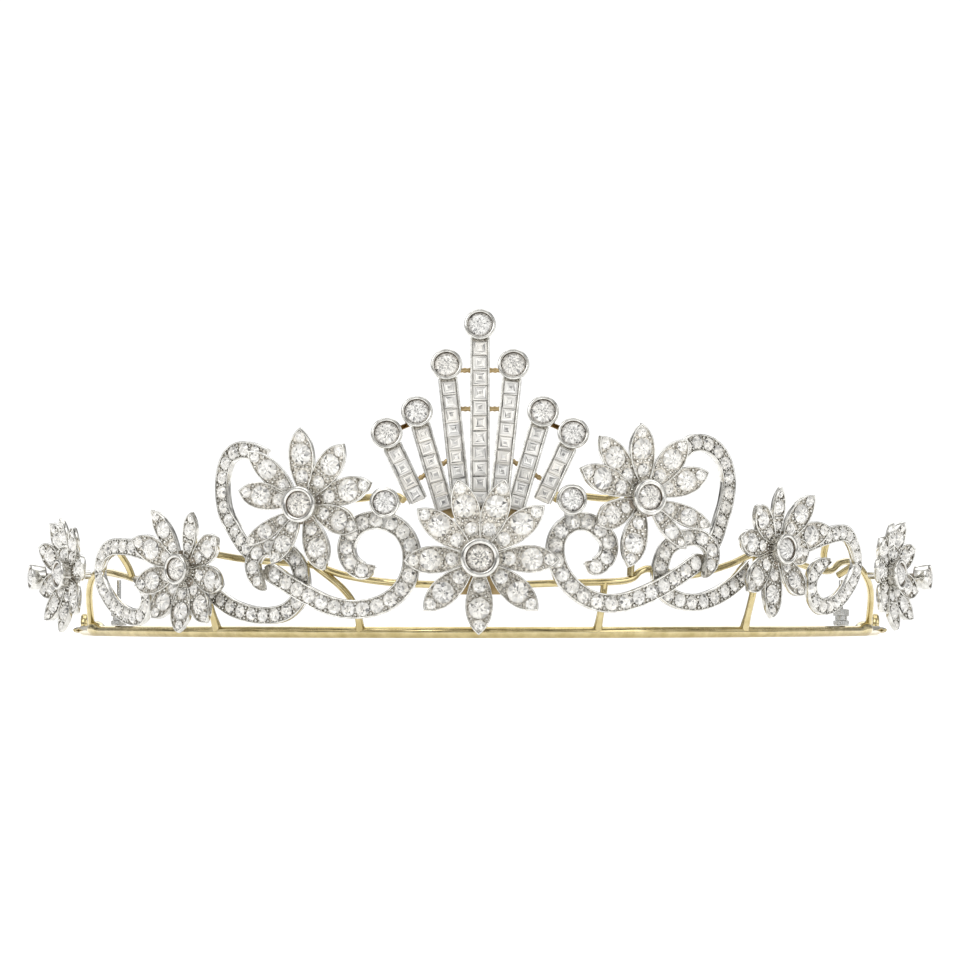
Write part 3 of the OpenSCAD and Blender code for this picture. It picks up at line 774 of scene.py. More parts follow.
@dataclass
class Flower:
    """Nine paved petals round a collet, on a disc and a stem."""

    name: str
    stone_node: str
    place: tuple[float, float]
    turn: float
    collet: Collet
    petals: tuple[tuple[float, ...], ...]
    seed: int
    side: int = 0
    out: float = 6.9
    petal_width: float = 4.7
    thickness: float = 1.0
    lift: float = 8.0
    root: float = 1.4
    rim: float = 0.24
    shift: float = 0.9
    stones: tuple[tuple[float, float], ...] = ((0.3, 1.16), (0.62, 1.86), (0.872, 1.02))
    beads: tuple[tuple[float, float, float], ...] = (
        (0.44, 1.08, 0.34), (0.44, 0.36, 0.24), (0.215, 0.7, 0.27), (0.5, 1.66, 0.24), (0.775, 1.32, 0.3),
        (0.77, 0.5, 0.22), (0.945, 0, 0.27), (0.36, 1.42, 0.24), (0.14, 0.3, 0.24))
    layers: float = 0.45
    collet_rise: float = 0.6
    terminal: Collet = Collet(2.45, 2.9)
    terminal_place: tuple[float, float, float] = (13.4, -0.4, 0.8)
    terminal_tilt: float = 10.0
    arm: tuple[float, ...] = (2, 6, 10, 12.6)
    arm_rise: float = 0.3

    @property
    def seat(self) -> Seat:
        """The middle of the flower's back plane."""
        return RAIL.facing((*self.place, self.out), self.turn)

    def petal_seat(self, direction: float) -> Seat:
        """Seat of a petal: x runs outwards along it and rises with the lift."""
        return self.seat.turned(direction).tilted(-self.lift)

    def outline(self, reach: float, width: float, inset: float, count: int = 20) -> Array:
        """Lens outline moved inwards by an inset, widest a little outside its middle.

        The lens is two arcs of radius R = (L^2/4 + w^2/4)/w. Moved inwards by d they are arcs of radius R - d with
        half width w/2 - d; x then shifts by s (1 - (x/a)^2), which moves the widest part outwards.

        Args:
            reach: distance of the tip from the flower's middle.
            width: the petal's greatest width.
            inset: distance moved inwards.
            count: steps along one side.

        Returns:
            Rows of [x, y], from the root along one side to the tip and back along the other.
        """
        length = reach - self.root
        bow = (length**2 + width**2) / 4 / width
        radius, half = bow - inset, width / 2 - inset
        reach_in = np.sqrt(max(2 * radius * half - half**2, 1e-6))
        x = -reach_in * np.cos(np.pi * np.arange(count + 1) / count)
        y = np.sqrt(np.maximum(radius**2 - x**2, 0)) - (radius - half)
        x = x + self.shift * (1 - (x / reach_in) ** 2) + self.root + length / 2
        return np.vstack([np.column_stack([x, y]), np.column_stack([x[1:-1], -y[1:-1]])[::-1]])

    def curl(self, x: Array, reach: float) -> Array:
        """Rise of a petal above its flat plane: 0.5 (x/reach)^3 - 0.25, so its tip comes forwards."""
        return 0.5 * (x / reach) ** 3 - 0.25 * (x / reach)

    def petal(self, direction: float, reach: float, width: float, step: float) -> Shape:
        """One petal: a hollowed back, a bright rim and a lower bed for the stones.

        Args:
            direction: degrees from the flower's x.
            reach: distance of the tip from the flower's middle.
            width: the petal's greatest width.
            step: small rise that layers neighbours where they overlap.

        Returns:
            The closed shape.
        """
        t = self.thickness
        levels = [(0.95, 0.35), (0.5, 0.3), (0.42, 0.02), (0.1, 0.0), (0.0, 0.12), *crest(0.0, self.rim, t, 0.13),
                  (self.rim + 0.02, t - 0.36), (0.9, t - 0.32)]
        rings = []
        for inset, z in levels:
            flat = self.outline(reach, width, inset)
            rings.append(np.column_stack([flat, z + step + self.curl(flat[:, 0], reach)]))
        # The back and the recessed bed take the grained finish with its painted shade.
        kinds = [1] + [0] * (len(levels) - 3) + [1]
        return self.petal_seat(direction).place(shell(np.stack(rings), kinds, across=True))

    def pave(self, setting: Setting, direction: float, reach: float, width: float, step: float) -> None:
        """Three graduated stones in line on a petal, with beads between them.

        Args:
            setting: collects the stones and beads.
            direction: degrees from the flower's x.
            reach: distance of the tip from the flower's middle.
            width: the petal's greatest width.
            step: the petal's small rise.
        """
        narrow = width / self.petal_width
        seat = self.petal_seat(direction)
        length = reach - self.root
        bed = self.thickness - 0.2 + step
        for share, radius in self.stones:
            spot = self.root + share * length
            size = radius * min(0.35 + 0.65 * length / 12.2, 1.08 * narrow)
            setting.stone(seat.moved(spot, 0, bed + self.curl(np.array(spot), reach)), size)
        for share, y, radius in self.beads:
            spot = self.root + share * length
            for side in (-1, 1) if y else (1,):
                setting.bead(seat.moved(spot, side * y * narrow, bed + self.curl(np.array(spot), reach)), radius)

    def build(self) -> None:
        """Makes the metal, the paved stones and the collet's stone."""
        setting = Setting()
        parts = []
        for number, (direction, reach, *share) in enumerate(self.petals):
            step = self.layers * (4 * number % 9) / 8
            width = self.petal_width * (share[0] if share else 1)
            parts.append(self.petal(direction, reach, width, step))
            self.pave(setting, direction, reach, width, step)
        seat = self.seat
        # The disc's top bands take the painted shade finish.
        parts += [seat.place(lathe(DISC, 32, [0, 0, 0, SHADED, SHADED])), seat.place(lathe(STEM, 20))]
        collets = [(self.collet, seat.moved(0, 0, self.collet_rise), self.name.replace("flower", "brilliant"),
                    self.stone_node)]
        if self.side:
            x, y, z = self.terminal_place
            beyond = seat.moved(self.side * x, y, z).tilted(self.side * self.terminal_tilt)
            collets.append((self.terminal, beyond, self.name.replace("end_flower", "terminal_brilliant"),
                            self.stone_node.replace("end", "terminal")))
            arm = np.array([[self.side * along, y, self.arm_rise] for along in self.arm])
            parts.append(bar(seat, arm, flat_section(0.8, 0.5)))
        for number, (collet, spot, name, node) in enumerate(collets):
            parts.append(collet.cup(spot))
            collet.stone(name, node, spot, self.seed + 50 + number, MODERN_CUT if self.place[0] == 0 else OLD_CUT)
        metal = Shape.join(parts + setting.bead_shape())
        make_piece(self.name + "_mount", metal, WHITE_SET, (self.name,))
        setting.make_gems(self.name + "_pave", self.seed)


# Ribbons and scrolls

HOOK = 4 / 3
ROUND_END = 2 / 3


@dataclass
class Ribbon:
    """Flat ribbon with two bright edges and one row of stones along a route."""

    route: tuple[tuple[float, float, float], ...]
    width: float
    out: float
    first: float = 0.0
    last: float = 0.0
    thickness: float = 1.2
    pitch: float = 2.6
    steps: int = 8
    sunk: float = 0.2
    stone_share: float = 0.39
    beads: tuple[tuple[float, float, float], ...] = (
        (0, 0.3, 0.1), (0, 0.13, 0.075), (0.8, 0.36, 0.07), (-0.8, 0.36, 0.07))

    def line(self) -> tuple[Array, Array, Array]:
        """The ribbon's middle line.

        Returns:
            Points in space, the outward direction at each, and the share of the full width there, which is
            0.12 + 0.88 sin(90 deg u) where u runs from 0 to 1 over the stretches of a drawn-in end.
        """
        curve = smooth_line(np.array(self.route) + [0, 0, self.out], self.steps)
        at = np.arange(len(curve)) / self.steps
        share = np.ones(len(curve))
        for stretches, far in ((self.first, at), (self.last, at[::-1])):
            if stretches:
                share = np.minimum(share, 0.12 + 0.88 * np.sin(np.minimum(far / stretches, 1) * np.pi / 2))
        return RAIL.place(curve), RAIL.outward(curve[:, 0]), share

    def metal(self) -> Shape:
        """The ribbon's metal: a closed outline with rims and a lower bed carried along the line."""
        w, t = self.width / 2, self.thickness / 2
        left, right = crest(-w, -w + 0.3, t, 0.15), crest(w - 0.3, w, t, 0.15)
        outline = np.vstack([[[-w + 0.12, -t], [-w, -t + 0.15]], left, [[-w + 0.32, t - 0.36], [w - 0.32, t - 0.36]],
                             right, [[w, -t + 0.15], [w - 0.12, -t], [w - 0.5, -t], [w - 0.55, -t + 0.3],
                                     [-w + 0.55, -t + 0.3], [-w + 0.5, -t]]])
        # The bed and the back recess take the grained finish with its painted shade.
        kinds = [0] * 8 + [1] + [0] * 10 + [1] + [0] * 2
        spots, out, share = self.line()
        scale = np.column_stack([share, np.ones(len(share))])
        return sweep(spots, out, outline, scale, kinds)

    def pave(self, setting: Setting) -> None:
        """Stones at an even pitch along the ribbon with beads in each gap.

        Args:
            setting: collects the stones and beads.
        """
        spots, out, share = self.line()
        far = distances(spots)
        count = int((far[-1] - 0.8) / self.pitch)
        at = far[-1] / 2 + self.pitch * (np.arange(count) - (count - 1) / 2)
        ahead = ahead_of(spots)
        for number, s in enumerate(np.sort(np.concatenate([at, at[:-1] + self.pitch / 2]))):
            spot = np.array([np.interp(s, far, spots[:, k]) for k in range(3)])
            x = unit(np.array([np.interp(s, far, ahead[:, k]) for k in range(3)]))
            o = np.array([np.interp(s, far, out[:, k]) for k in range(3)])
            y = unit(np.cross(x, o))
            seat = Seat(spot, np.stack([x, -y, np.cross(x, -y)]))
            wide = float(np.interp(s, far, share))
            lift = self.thickness / 2 - self.sunk
            if number % 2 == 0 and wide > 0.35:
                setting.stone(seat.moved(0, 0, lift), self.stone_share * self.width * wide)
            elif number % 2 == 1 and wide > 0.6:
                for along, y, size in self.beads:
                    for side in (-1, 1):
                        setting.bead(seat.moved(along, side * y * self.width * wide, lift), size * self.width)


@dataclass
class Band:
    """One or more ribbons that are one solid of the construction model."""

    name: str
    ribbons: tuple[Ribbon, ...]
    seed: int

    def build(self) -> None:
        """Makes the metal and the stones."""
        setting = Setting()
        for ribbon in self.ribbons:
            ribbon.pave(setting)
        metal = Shape.join([r.metal() for r in self.ribbons] + setting.bead_shape())
        make_piece(self.name + "_mount", metal, WHITE_SET, (self.name,))
        setting.make_gems(self.name + "_pave", self.seed)


@dataclass
class Scroll:
    """C-scroll of paved ribbon with a collet on its shoulder."""

    name: str
    ribbon: Ribbon
    shoulder: tuple[float, float, float, float]
    seed: int
    collet: Collet = Collet(2.6, 2.7)

    def build(self) -> None:
        """Makes the metal, the paved stones and the collet's stone."""
        setting = Setting()
        self.ribbon.pave(setting)
        along, up, out, turn = self.shoulder
        seat = RAIL.facing((along, up, out), turn)
        neck = np.array([[0, y, 0.45] for y in (-4.2, -3.4, -2.0)])
        stalk = bar(seat, neck, flat_section(0.85, 0.35, 0.15, 0.1), np.array([1.2, 0.9, 1.1]))
        parts = [self.ribbon.metal(), self.collet.cup(seat), stalk] + setting.bead_shape()
        make_piece(self.name + "_mount", Shape.join(parts), WHITE_SET, (self.name,))
        setting.make_gems(self.name + "_pave", self.seed)
        self.collet.stone(self.name + "_brilliant", self.name + "_stone", seat, self.seed + 70)


# Fringe

@dataclass
class Fringe:
    """Seven channel-set rays that spread upwards, each with a collet at its tip."""

    rays: tuple[tuple[float, float, float, float], ...] = (
        (-15.8, 21.6, 25, 10), (-10.7, 25.4, 16, 8.5), (-5.7, 33.7, 6, 9), (0, 40.8, 0, 9),
        (5.7, 33.7, -6, 9), (10.7, 25.4, -16, 8.5), (15.8, 21.6, -25, 10))
    ties: tuple[tuple[float, ...], ...] = (
        (-5.2, 33.2, 5.2, 33.2), (-5.0, 26.4, 5.0, 26.4), (-13.6, 23, -11.8, 23.8), (11.8, 23.8, 13.6, 23),
        (-11.8, 13.2, -4.4, 18), (4.4, 18, 11.8, 13.2))
    out: float = 7.9
    up: float = 13.5
    lean: float = 12.0
    width: float = 3.3
    depth: float = 2.2
    rail: float = 0.35
    pitch: float = 2.6
    gap: float = 0.02
    sunk: float = 0.34
    collet: Collet = Collet(2.7, 2.8, 0.58)
    base: tuple[float, float, float] = (7.3, 9.6, -2.3)
    tie_r: float = 0.42
    tie_depth: float = -1.7
    tie_ribs: float = 0.16
    tie_steps: int = 25

    @property
    def seat(self) -> Seat:
        """The leaning plane of the fringe, level with the centre flower's collet."""
        return RAIL.facing((0, self.up, self.out), 0, self.lean)

    def ray_seat(self, x: float, y: float, turn: float) -> Seat:
        """Seat at a ray's tip collet with y along the ray."""
        return self.seat.moved(x, y, 0).turned(turn)

    def ray(self, x: float, y: float, turn: float, foot: float) -> Shape:
        """The channel of one ray: two thin rails with a groove outside each, and the bed between them.

        Args:
            x: sideways place of the tip collet.
            y: its height above the centre flower's collet.
            turn: degrees from upright.
            foot: height where the ray's foot ends.

        Returns:
            The closed shape.
        """
        w, d, r = self.width / 2, self.depth, self.rail
        left = np.array([[-w + 0.15, -d], [-w, -d + 0.2], [-w, -0.75], [-w + 0.1, -0.62], [-w, -0.5]])
        top, floor = crest(-w, -w + r, 0, 0.08), np.array([[-w + r + 0.02, -0.7]])
        half = np.vstack([left, top, floor])
        outline = np.vstack([half, half[::-1] * [-1, 1]])
        # The channel's bed takes the grained finish with its painted shade.
        kinds = [0] * (len(half) - 1) + [1] + [0] * len(half)
        run = (y - foot) / np.cos(np.radians(turn))
        spots = np.array([[0, -s, 0] for s in (self.collet.radius - 0.4, run / 2, run)])
        return bar(self.ray_seat(x, y, turn), spots, outline, finishes=kinds)

    def build(self) -> None:
        """Makes the rays, their square stones and the seven round stones."""
        setting = Setting()
        parts = []
        for number, (x, y, turn, foot) in enumerate(self.rays):
            parts.append(self.ray(x, y, turn, foot))
            seat = self.ray_seat(x, y, turn)
            run = (y - foot) / np.cos(np.radians(turn))
            start = self.collet.radius + 0.05
            count = int(np.ceil((run - start) / self.pitch - 0.3))
            pitch = (run - start) / count
            for k in range(count):
                half = min(self.width / 2 - self.rail, pitch / 2) - self.gap
                setting.stone(seat.moved(0, -start - pitch * (k + 0.5), -self.sunk), half)
            tip = self.seat.moved(x, y, -self.depth)
            parts.append(self.collet.cup(tip))
            self.collet.stone(f"fringe_brilliant_{number + 1}", f"fringe_stone_{number + 1}", tip, 300 + number)
        half, y, z = self.base
        gold = [bar(self.seat, np.array([[-half, y, z], [0, y, z], [half, y, z]]), flat_section(2.1, 0.4))]
        share = np.linspace(0, 1, self.tie_steps)[:, None]
        swell = self.tie_r * (1 + self.tie_ribs * np.cos(np.arange(self.tie_steps) * np.pi))
        for x0, y0, x1, y1 in self.ties:
            line = np.array([[x0, y0, self.tie_depth]]) * (1 - share) + np.array([[x1, y1, self.tie_depth]]) * share
            gold.append(bar(self.seat, line, round_section(10), swell))
        # The fringe's base plate and ties take the darker gold painted as shade.
        metal = Shape.join(parts + [shape.painted(len(WHITE_SET)) for shape in gold])
        make_piece("fringe_channels", metal, [*WHITE_SET, PAINTED_SHADE_GOLD], ("fringe_rays",))
        setting.make_gems("fringe_square_stones", 290, STEP_CUT)


# Gold frame

RAIL_END = np.array([[0, 0.72], [0.8, 0.8], [1.5, 0.9], [2.3, 0.97], [3, 1], [4, 1], [4.6, 0.96], [5, 0.9],
                     [5.4, 0.8], [5.7, 0.66], [5.95, 0.48], [6.1, 0.28]])
BARB = np.array([[0, 98, 0.55], [0.9, 93.5, 0.6], [1.5, 90, 0.5], [1.8, 87.2, 0.3]])
PLATE_SECTION = np.array([[-3.9, -0.3], [-3.7, -0.5], [3.7, -0.5], [3.9, -0.3], [3.9, 0.3], [3.7, 0.5], [-3.7, 0.5],
                          [-3.9, 0.3]])


@dataclass
class GoldFrame:
    """Rail with rounded ends, rear extensions with eyelets, upper wires and the plate behind the flower."""

    wires: tuple[tuple[tuple[float, float, float], ...], ...]
    struts: tuple[tuple[tuple[float, float, float], ...], ...]
    rail_r: float = 1.0
    end_r: float = 1.4
    wire_r: float = 0.62
    eyelet_r: float = 2.1
    hole_r: float = 1.2
    eyelet_t: float = 1.3
    overlap: float = 5.5
    turns: tuple[float, float] = (73.0, 87.6)
    rear: tuple[float, float] = (60.0, 111.5)
    rings: int = 40

    def rail(self) -> Shape:
        """The rail: a round bar of radius 1 that swells to a rounded end on each side."""
        far = RAIL.length
        plain = np.arange(0, far - 6, 1.5)
        half = np.concatenate([plain, far - 5 + RAIL_END[:, 0]])
        radii = np.concatenate([np.full(len(plain), self.rail_r), self.end_r * RAIL_END[:, 1]])
        along = np.concatenate([-half[:0:-1], half])
        radii = np.concatenate([radii[:0:-1], radii])
        route = np.column_stack([along, np.maximum(self.rail_r, radii), np.zeros(len(along))])
        return sweep(RAIL.place(route), RAIL.outward(along), round_section(24), radii)

    def wire(self, route: tuple[tuple[float, float, float], ...], foot: float = 1.0) -> Shape:
        """A wire along a route, wider at its first end by a factor that falls off over 2 mm.

        Args:
            route: rows of [along, up, out].
            foot: factor on the radius at the first end.

        Returns:
            The closed shape.
        """
        curve = smooth_line(np.array(route, float), 6)
        spots = RAIL.place(curve)
        far = distances(spots)
        radii = self.wire_r * (1 + (foot - 1) * np.exp(-(far / 1.6) ** 2))
        return sweep(spots, RAIL.outward(curve[:, 0]), round_section(14), radii)

    def extension(self, side: int) -> list[Shape]:
        """Rear extension, its barb and the upright eyelet at its end.

        The bar is an arc between two turns that starts inside the rail's end.

        Args:
            side: -1 for the left and 1 for the right.

        Returns:
            The three closed shapes.
        """
        first, last = np.radians(self.turns)
        radius = (self.rear[1] - self.rear[0]) / (np.cos(first) - np.cos(last))
        _, leave = RAIL.walk(np.array(RAIL.length - self.overlap))

        def arc(q: Array) -> Array:
            """Points of the bar at turns q, mirrored to its side."""
            x = leave[0] + radius * (np.sin(q) - np.sin(first))
            y = leave[1] + radius * (np.cos(first) - np.cos(q))
            return np.stack([side * x, y, np.full_like(q, self.rail_r)], -1)

        share = np.linspace(0, 1, self.rings)
        spots = arc(first + (last - first) * share)
        level = Seat(np.zeros(3), np.eye(3))
        rod = bar(level, spots, round_section(18), 1 - 0.25 * share)
        barb = smooth_line(BARB, 5)
        line = arc(np.arccos(np.cos(first) - (barb[:, 1] - RAIL.middle_y - leave[1]) / radius))
        line[:, 0] += side * barb[:, 0]
        hook = bar(level, line, round_section(12), barb[:, 2])
        eye = spots[-1] + [0, self.eyelet_r - 0.5, self.eyelet_r - self.rail_r]
        n = self.rings
        q = 2 * np.pi * np.arange(n) / n
        t, r0, r1 = self.eyelet_t / 2, self.hole_r, self.eyelet_r
        outline = np.array([[r0, -t + 0.2], [r0 + 0.18, -t], [r1 - 0.25, -t], [r1, -t + 0.3], [r1, t - 0.3],
                            [r1 - 0.25, t], [r0 + 0.18, t], [r0, t - 0.2]])
        rings = np.stack([np.broadcast_to(outline[None, :, 1], (n, 8)), np.cos(q)[:, None] * outline[None, :, 0],
                          np.sin(q)[:, None] * outline[None, :, 0]], -1)
        last_row = 8 * (n - 1)
        faces = np.vstack([ring_faces(n, 8), ring_faces(2, 8) % 8 + np.array([last_row, last_row, 0, 0])])
        ring = Shape((rings + eye).reshape(-1, 3), [Block(faces)]).outward()
        return [rod, hook, ring]

    def plate(self) -> Shape:
        """Plate behind the centre flower, with rounded edges, in the darker gold painted as shade."""
        seat = RAIL.facing((0, 7.4, 3), 0)
        spots = np.array([[0, y, 0] for y in (0.0, 0.3, 6.7, 13.1, 13.4)])
        return bar(seat, spots, PLATE_SECTION, np.array([0.94, 1, 1, 1, 0.94])).painted(1)

    def build(self) -> None:
        """Makes the whole frame as one piece."""
        parts = [self.rail(), self.plate()] + self.extension(-1) + self.extension(1)
        parts += [self.wire(w) for w in self.wires] + [self.wire(s, 1.4) for s in self.struts]
        make_piece("gold_frame_polished", Shape.join(parts), [GOLD, PAINTED_SHADE_GOLD], ("gold_frame",))


@dataclass
class ScrewPost:
    """Thin upright rod with a fluted nut at its foot."""

    side: int
    along: float = 90.0
    height: float = 8.3

    def build(self) -> None:
        """Makes the post in place of its plain solid."""
        rod = np.array([[0.38, 0.02], [0.38, self.height - 0.1], [0.3, self.height]])
        nut = np.array([[1.3, 0], [1.45, 0.12], [1.45, 0.8], [1.3, 0.9], [1.12, 0.95], [1.12, 1.65], [1.3, 1.7],
                        [1.45, 1.8], [1.45, 2.85], [1.25, 3.0], [0.8, 3.0]])
        spot = RAIL.place(np.array([self.side * self.along, 2.05, 0]))
        seat = Seat(spot, np.eye(3))
        shape = Shape.join([seat.place(lathe(rod, 16)), seat.place(lathe(nut, 96, None, 24))])
        node = ("left" if self.side < 0 else "right") + "_screw_post"
        make_piece(node + "_turned", shape, [STEEL], (node,))


# Studio

@dataclass
class Studio:
    """Pale floor, soft lights and the camera in front of the tiara."""

    camera_y: float = -0.703
    camera_z: float = 0.004
    lens: float = 143.4
    aim: tuple[float, float, float] = (0.0, -0.05, 0.027)

    def floor(self) -> None:
        """A wide round floor of rings."""
        q = 2 * np.pi * np.arange(64) / 64
        radii = np.array([0.0005, 0.3, 1.0, 4.0])
        rings = np.stack([np.outer(radii, np.cos(q)), np.outer(radii, np.sin(q)), np.zeros((4, 64))], -1)
        mesh = bpy.data.meshes.new("floor")
        faces = ring_faces(4, 64).tolist() + [list(range(63, -1, -1))]
        mesh.from_pydata(rings.reshape(-1, 3).tolist(), [], [f[::-1] for f in faces])
        mesh.materials.append(PALE_FLOOR.material())
        floor = bpy.data.objects.new("floor", mesh)
        bpy.context.scene.collection.objects.link(floor)

    def light(self, name: str, spot: tuple[float, float, float], size: tuple[float, float], power: float) -> None:
        """A soft rectangular light that points at the tiara.

        Args:
            name: the light's name.
            spot: its place in metres.
            size: its width and height in metres.
            power: its power in watts.
        """
        lamp = bpy.data.lights.new(name, "AREA")
        lamp.shape = "RECTANGLE"
        lamp.size, lamp.size_y = size
        lamp.energy = power
        thing = bpy.data.objects.new(name, lamp)
        thing.location = spot
        thing.rotation_euler = (Vector((0, 0, 0.02)) - Vector(spot)).to_track_quat("-Z", "Y").to_euler()
        bpy.context.scene.collection.objects.link(thing)

    def world(self) -> None:
        """Sky that the camera sees as white and that lights the tiara as a soft room, brighter above."""
        world = bpy.data.worlds.new("studio")
        bpy.context.scene.world = world
        world.use_nodes = True
        tree = world.node_tree
        link = tree.links.new
        tree.nodes.clear()
        place = add_node(tree, "TexCoord").outputs["Generated"]
        split = add_node(tree, "SeparateXYZ")
        half = add_node(tree, "MapRange", From_Min=-1)
        ramp = add_node(tree, "ValToRGB")
        stops = ((0.0, 0.8), (0.47, 0.8), (0.5, 0.62), (0.56, 0.75), (0.75, 1.0), (1.0, 0.8))
        elements = ramp.color_ramp.elements
        elements[0].position, elements[1].position = stops[0][0], stops[-1][0]
        for position, _ in stops[1:-1]:
            elements.new(position)
        for element, (_, value) in zip(elements, stops):
            element.color = (value, value, value, 1)
        cards = add_node(tree, "TexNoise", Scale=2.6, Detail=1)
        contrast = add_node(tree, "MapRange", From_Min=0.36, From_Max=0.56, To_Min=0.12, To_Max=1.0)
        room, white = add_node(tree, "Background"), add_node(tree, "Background", Color=(1, 1, 1, 1), Strength=1.1)
        mix = add_node(tree, "MixShader")
        link(place, split.inputs["Vector"])
        link(place, cards.inputs["Vector"])
        link(cards.outputs["Fac"], contrast.inputs["Value"])
        link(split.outputs["Z"], half.inputs["Value"])
        link(half.outputs["Result"], ramp.inputs["Fac"])
        link(ramp.outputs["Color"], room.inputs["Color"])
        link(contrast.outputs["Result"], room.inputs["Strength"])
        link(add_node(tree, "LightPath").outputs["Is Camera Ray"], mix.inputs[0])
        link(room.outputs[0], mix.inputs[1])
        link(white.outputs[0], mix.inputs[2])
        link(mix.outputs[0], add_node(tree, "OutputWorld").inputs["Surface"])

    def build(self) -> None:
        """Makes the floor, the lights, the world and the camera."""
        self.floor()
        self.world()
        self.light("key", (-0.5, -0.75, 0.75), (0.6, 0.6), 2.8)
        self.light("fill", (0.75, -0.6, 0.45), (0.4, 0.6), 1.2)
        self.light("top", (0.0, 0.1, 0.9), (0.9, 0.7), 3)
        self.light("back", (0.0, 0.9, 0.5), (1.2, 0.5), 2)
        data = bpy.data.cameras.new("camera")
        data.lens, data.sensor_width = self.lens, 36
        data.clip_start, data.clip_end = 0.01, 20
        camera = bpy.data.objects.new("camera", data)
        camera.location = (0.0, self.camera_y, self.camera_z)
        camera.rotation_euler = (Vector(self.aim) - camera.location).to_track_quat("-Z", "Y").to_euler()
        bpy.context.scene.collection.objects.link(camera)
        bpy.context.scene.camera = camera
        settings = bpy.context.scene.view_settings
        settings.view_transform, settings.look = "Standard", "None"


# The tiara

CENTRE_PETALS = ((359, 13.6), (39, 14.2), (72, 14.2), (106, 14.1), (142, 13.7), (182, 13), (223, 13.2), (269, 13.1),
                 (318, 13.4))
LEFT_LARGE = ((15, 13.9), (51, 13.3), (89, 13.3), (136, 13.5, 0.85), (168, 11.8), (214, 12.7, 0.65),
              (243, 11.6, 0.75), (291, 12.3), (338, 11.7))
RIGHT_LARGE = ((21, 12.4), (54, 12.5), (97, 12.9), (132, 14), (160, 14), (206, 10.8), (252, 12.8), (309, 11.5, 0.65),
               (337, 13.1, 0.75))
LEFT_MIDDLE = ((30, 10.8), (72, 10.6, 0.7), (120, 12.4, 0.75), (154, 12.6), (196, 11), (232, 11), (271, 11.3),
               (306, 11.8), (345, 11.4))
RIGHT_MIDDLE = ((356, 7.4), (18, 12.8), (52, 12.4), (94, 11.1, 0.65), (134, 10.6), (172, 11.6), (217, 12.4),
                (254, 12.8), (303, 9.8))
LEFT_END = ((10, 10.6), (54, 10.6), (90, 10.6, 0.7), (120, 11.3), (154, 12), (196, 11.6), (228, 11.6), (266, 10.9),
            (318, 10.8))
RIGHT_END = ((28, 10.6), (70, 10.6), (105, 10, 0.7), (138, 10), (174, 10.4), (222, 10), (266, 10.6), (312, 11.4),
             (342, 10.6))

LEFT_SCROLL = ((-16.2, 12.1, 0), (-18.1, 11.4, 0), (-20.2, 12.9, 0), (-20.8, 15.8, 0), (-19.2, 18.9, 0),
               (-16.2, 20, 0), (-13.2, 19.2, 0), (-11.2, 17, 0), (-10.4, 13.8, 0), (-10.9, 10.4, 0), (-12.6, 7.6, 0),
               (-15.3, 5.7, 0), (-19, 4.9, 0), (-23.2, 5.4, 0), (-27.3, 7.2, 0), (-30.9, 9.2, 0), (-33.4, 10.7, 0),
               (-35.5, 11.9, -0.1))
RIGHT_SCROLL = ((16.2, 12.8, 0), (17.9, 12.1, 0), (19.8, 13.9, 0), (19.9, 16.7, 0), (17.4, 19.3, 0), (14.6, 19.7, 0),
                (12.3, 17.9, 0), (11.5, 15, 0), (12.1, 11.9, 0), (13.7, 9.2, 0), (16.1, 7.1, 0), (19.1, 6, 0),
                (22.4, 6.1, 0), (25.8, 7.2, 0), (29.2, 8.8, 0), (32, 10.5, 0), (34.8, 12.3, 0), (37.2, 13.9, -0.1))
LEFT_RING = ((-36.4, 31, 0), (-39.4, 32.2, 0), (-42.2, 32.4, 0), (-44.5, 31.2, 0), (-45.8, 28.5, 0), (-46, 25.2, 0),
             (-45.3, 21.8, 0), (-43.4, 19, 0), (-40.6, 16.5, 1), (-37.2, 14.1, 2.1))
LEFT_LOBE = ((-34.6, 8.2, 3), (-36.3, 10.4, 2.9), (-36.9, 13.1, 2.8), (-35.5, 15.3, 2.1), (-33, 15.4, 0.9),
             (-30.9, 13.9, 0), (-29.6, 11.5, 0), (-29.3, 8.7, 0), (-30.2, 6.3, 0), (-32.2, 4.6, 0), (-35, 3.9, 0),
             (-38.9, 4, 0), (-43.3, 5.1, 0), (-47, 7, 0), (-50, 9.2, 0))
RIGHT_RING = ((33.4, 31.6, 0), (36.2, 33.5, 0), (39.8, 33.2, 0), (42.6, 31, 0), (43.9, 27.4, 0), (43.4, 23.6, 0),
              (42.2, 20.4, 0), (40.4, 17.6, 0.8), (38.1, 15.2, 1.9))
RIGHT_LOBE = ((36.2, 10.4, 3), (37.6, 12.8, 2.9), (37.7, 15.3, 2.8), (36, 17.1, 2), (33.4, 17, 0.8), (31.2, 15.5, 0),
              (30, 13, 0), (29.6, 10.3, 0), (30.6, 7.9, 0), (32.8, 6.6, 0), (35.6, 6.1, 0), (38.6, 6.4, 0),
              (42, 7.6, 0), (45.6, 9.6, 0), (49, 12.2, 0))
LEFT_CURL = ((-61.5, 13.2, 0), (-66.5, 15, 0.6), (-72.2, 16.1, 1.6), (-77.8, 16, 2.2), (-81.8, 13.9, 2.2),
             (-82, 10.2, 2.2), (-77.6, 6.5, 2.2), (-71.4, 4, 2.2), (-66.4, 3.7, 2), (-64.3, 5.9, 2), (-64.9, 8.6, 2),
             (-68.6, 10.6, 2))
RIGHT_CURL = ((58.5, 15.2, 0), (63, 16.3, 0.8), (69.5, 18, 1.8), (76, 18.6, 2.2), (80, 16, 2.2), (80.6, 12.2, 2.2),
              (76.6, 8.5, 2.2), (71, 5.9, 2.2), (66.4, 5.6, 2), (63.9, 7.6, 2), (63.8, 10.4, 2), (66.2, 12.6, 2),
              (70.4, 13.7, 2))

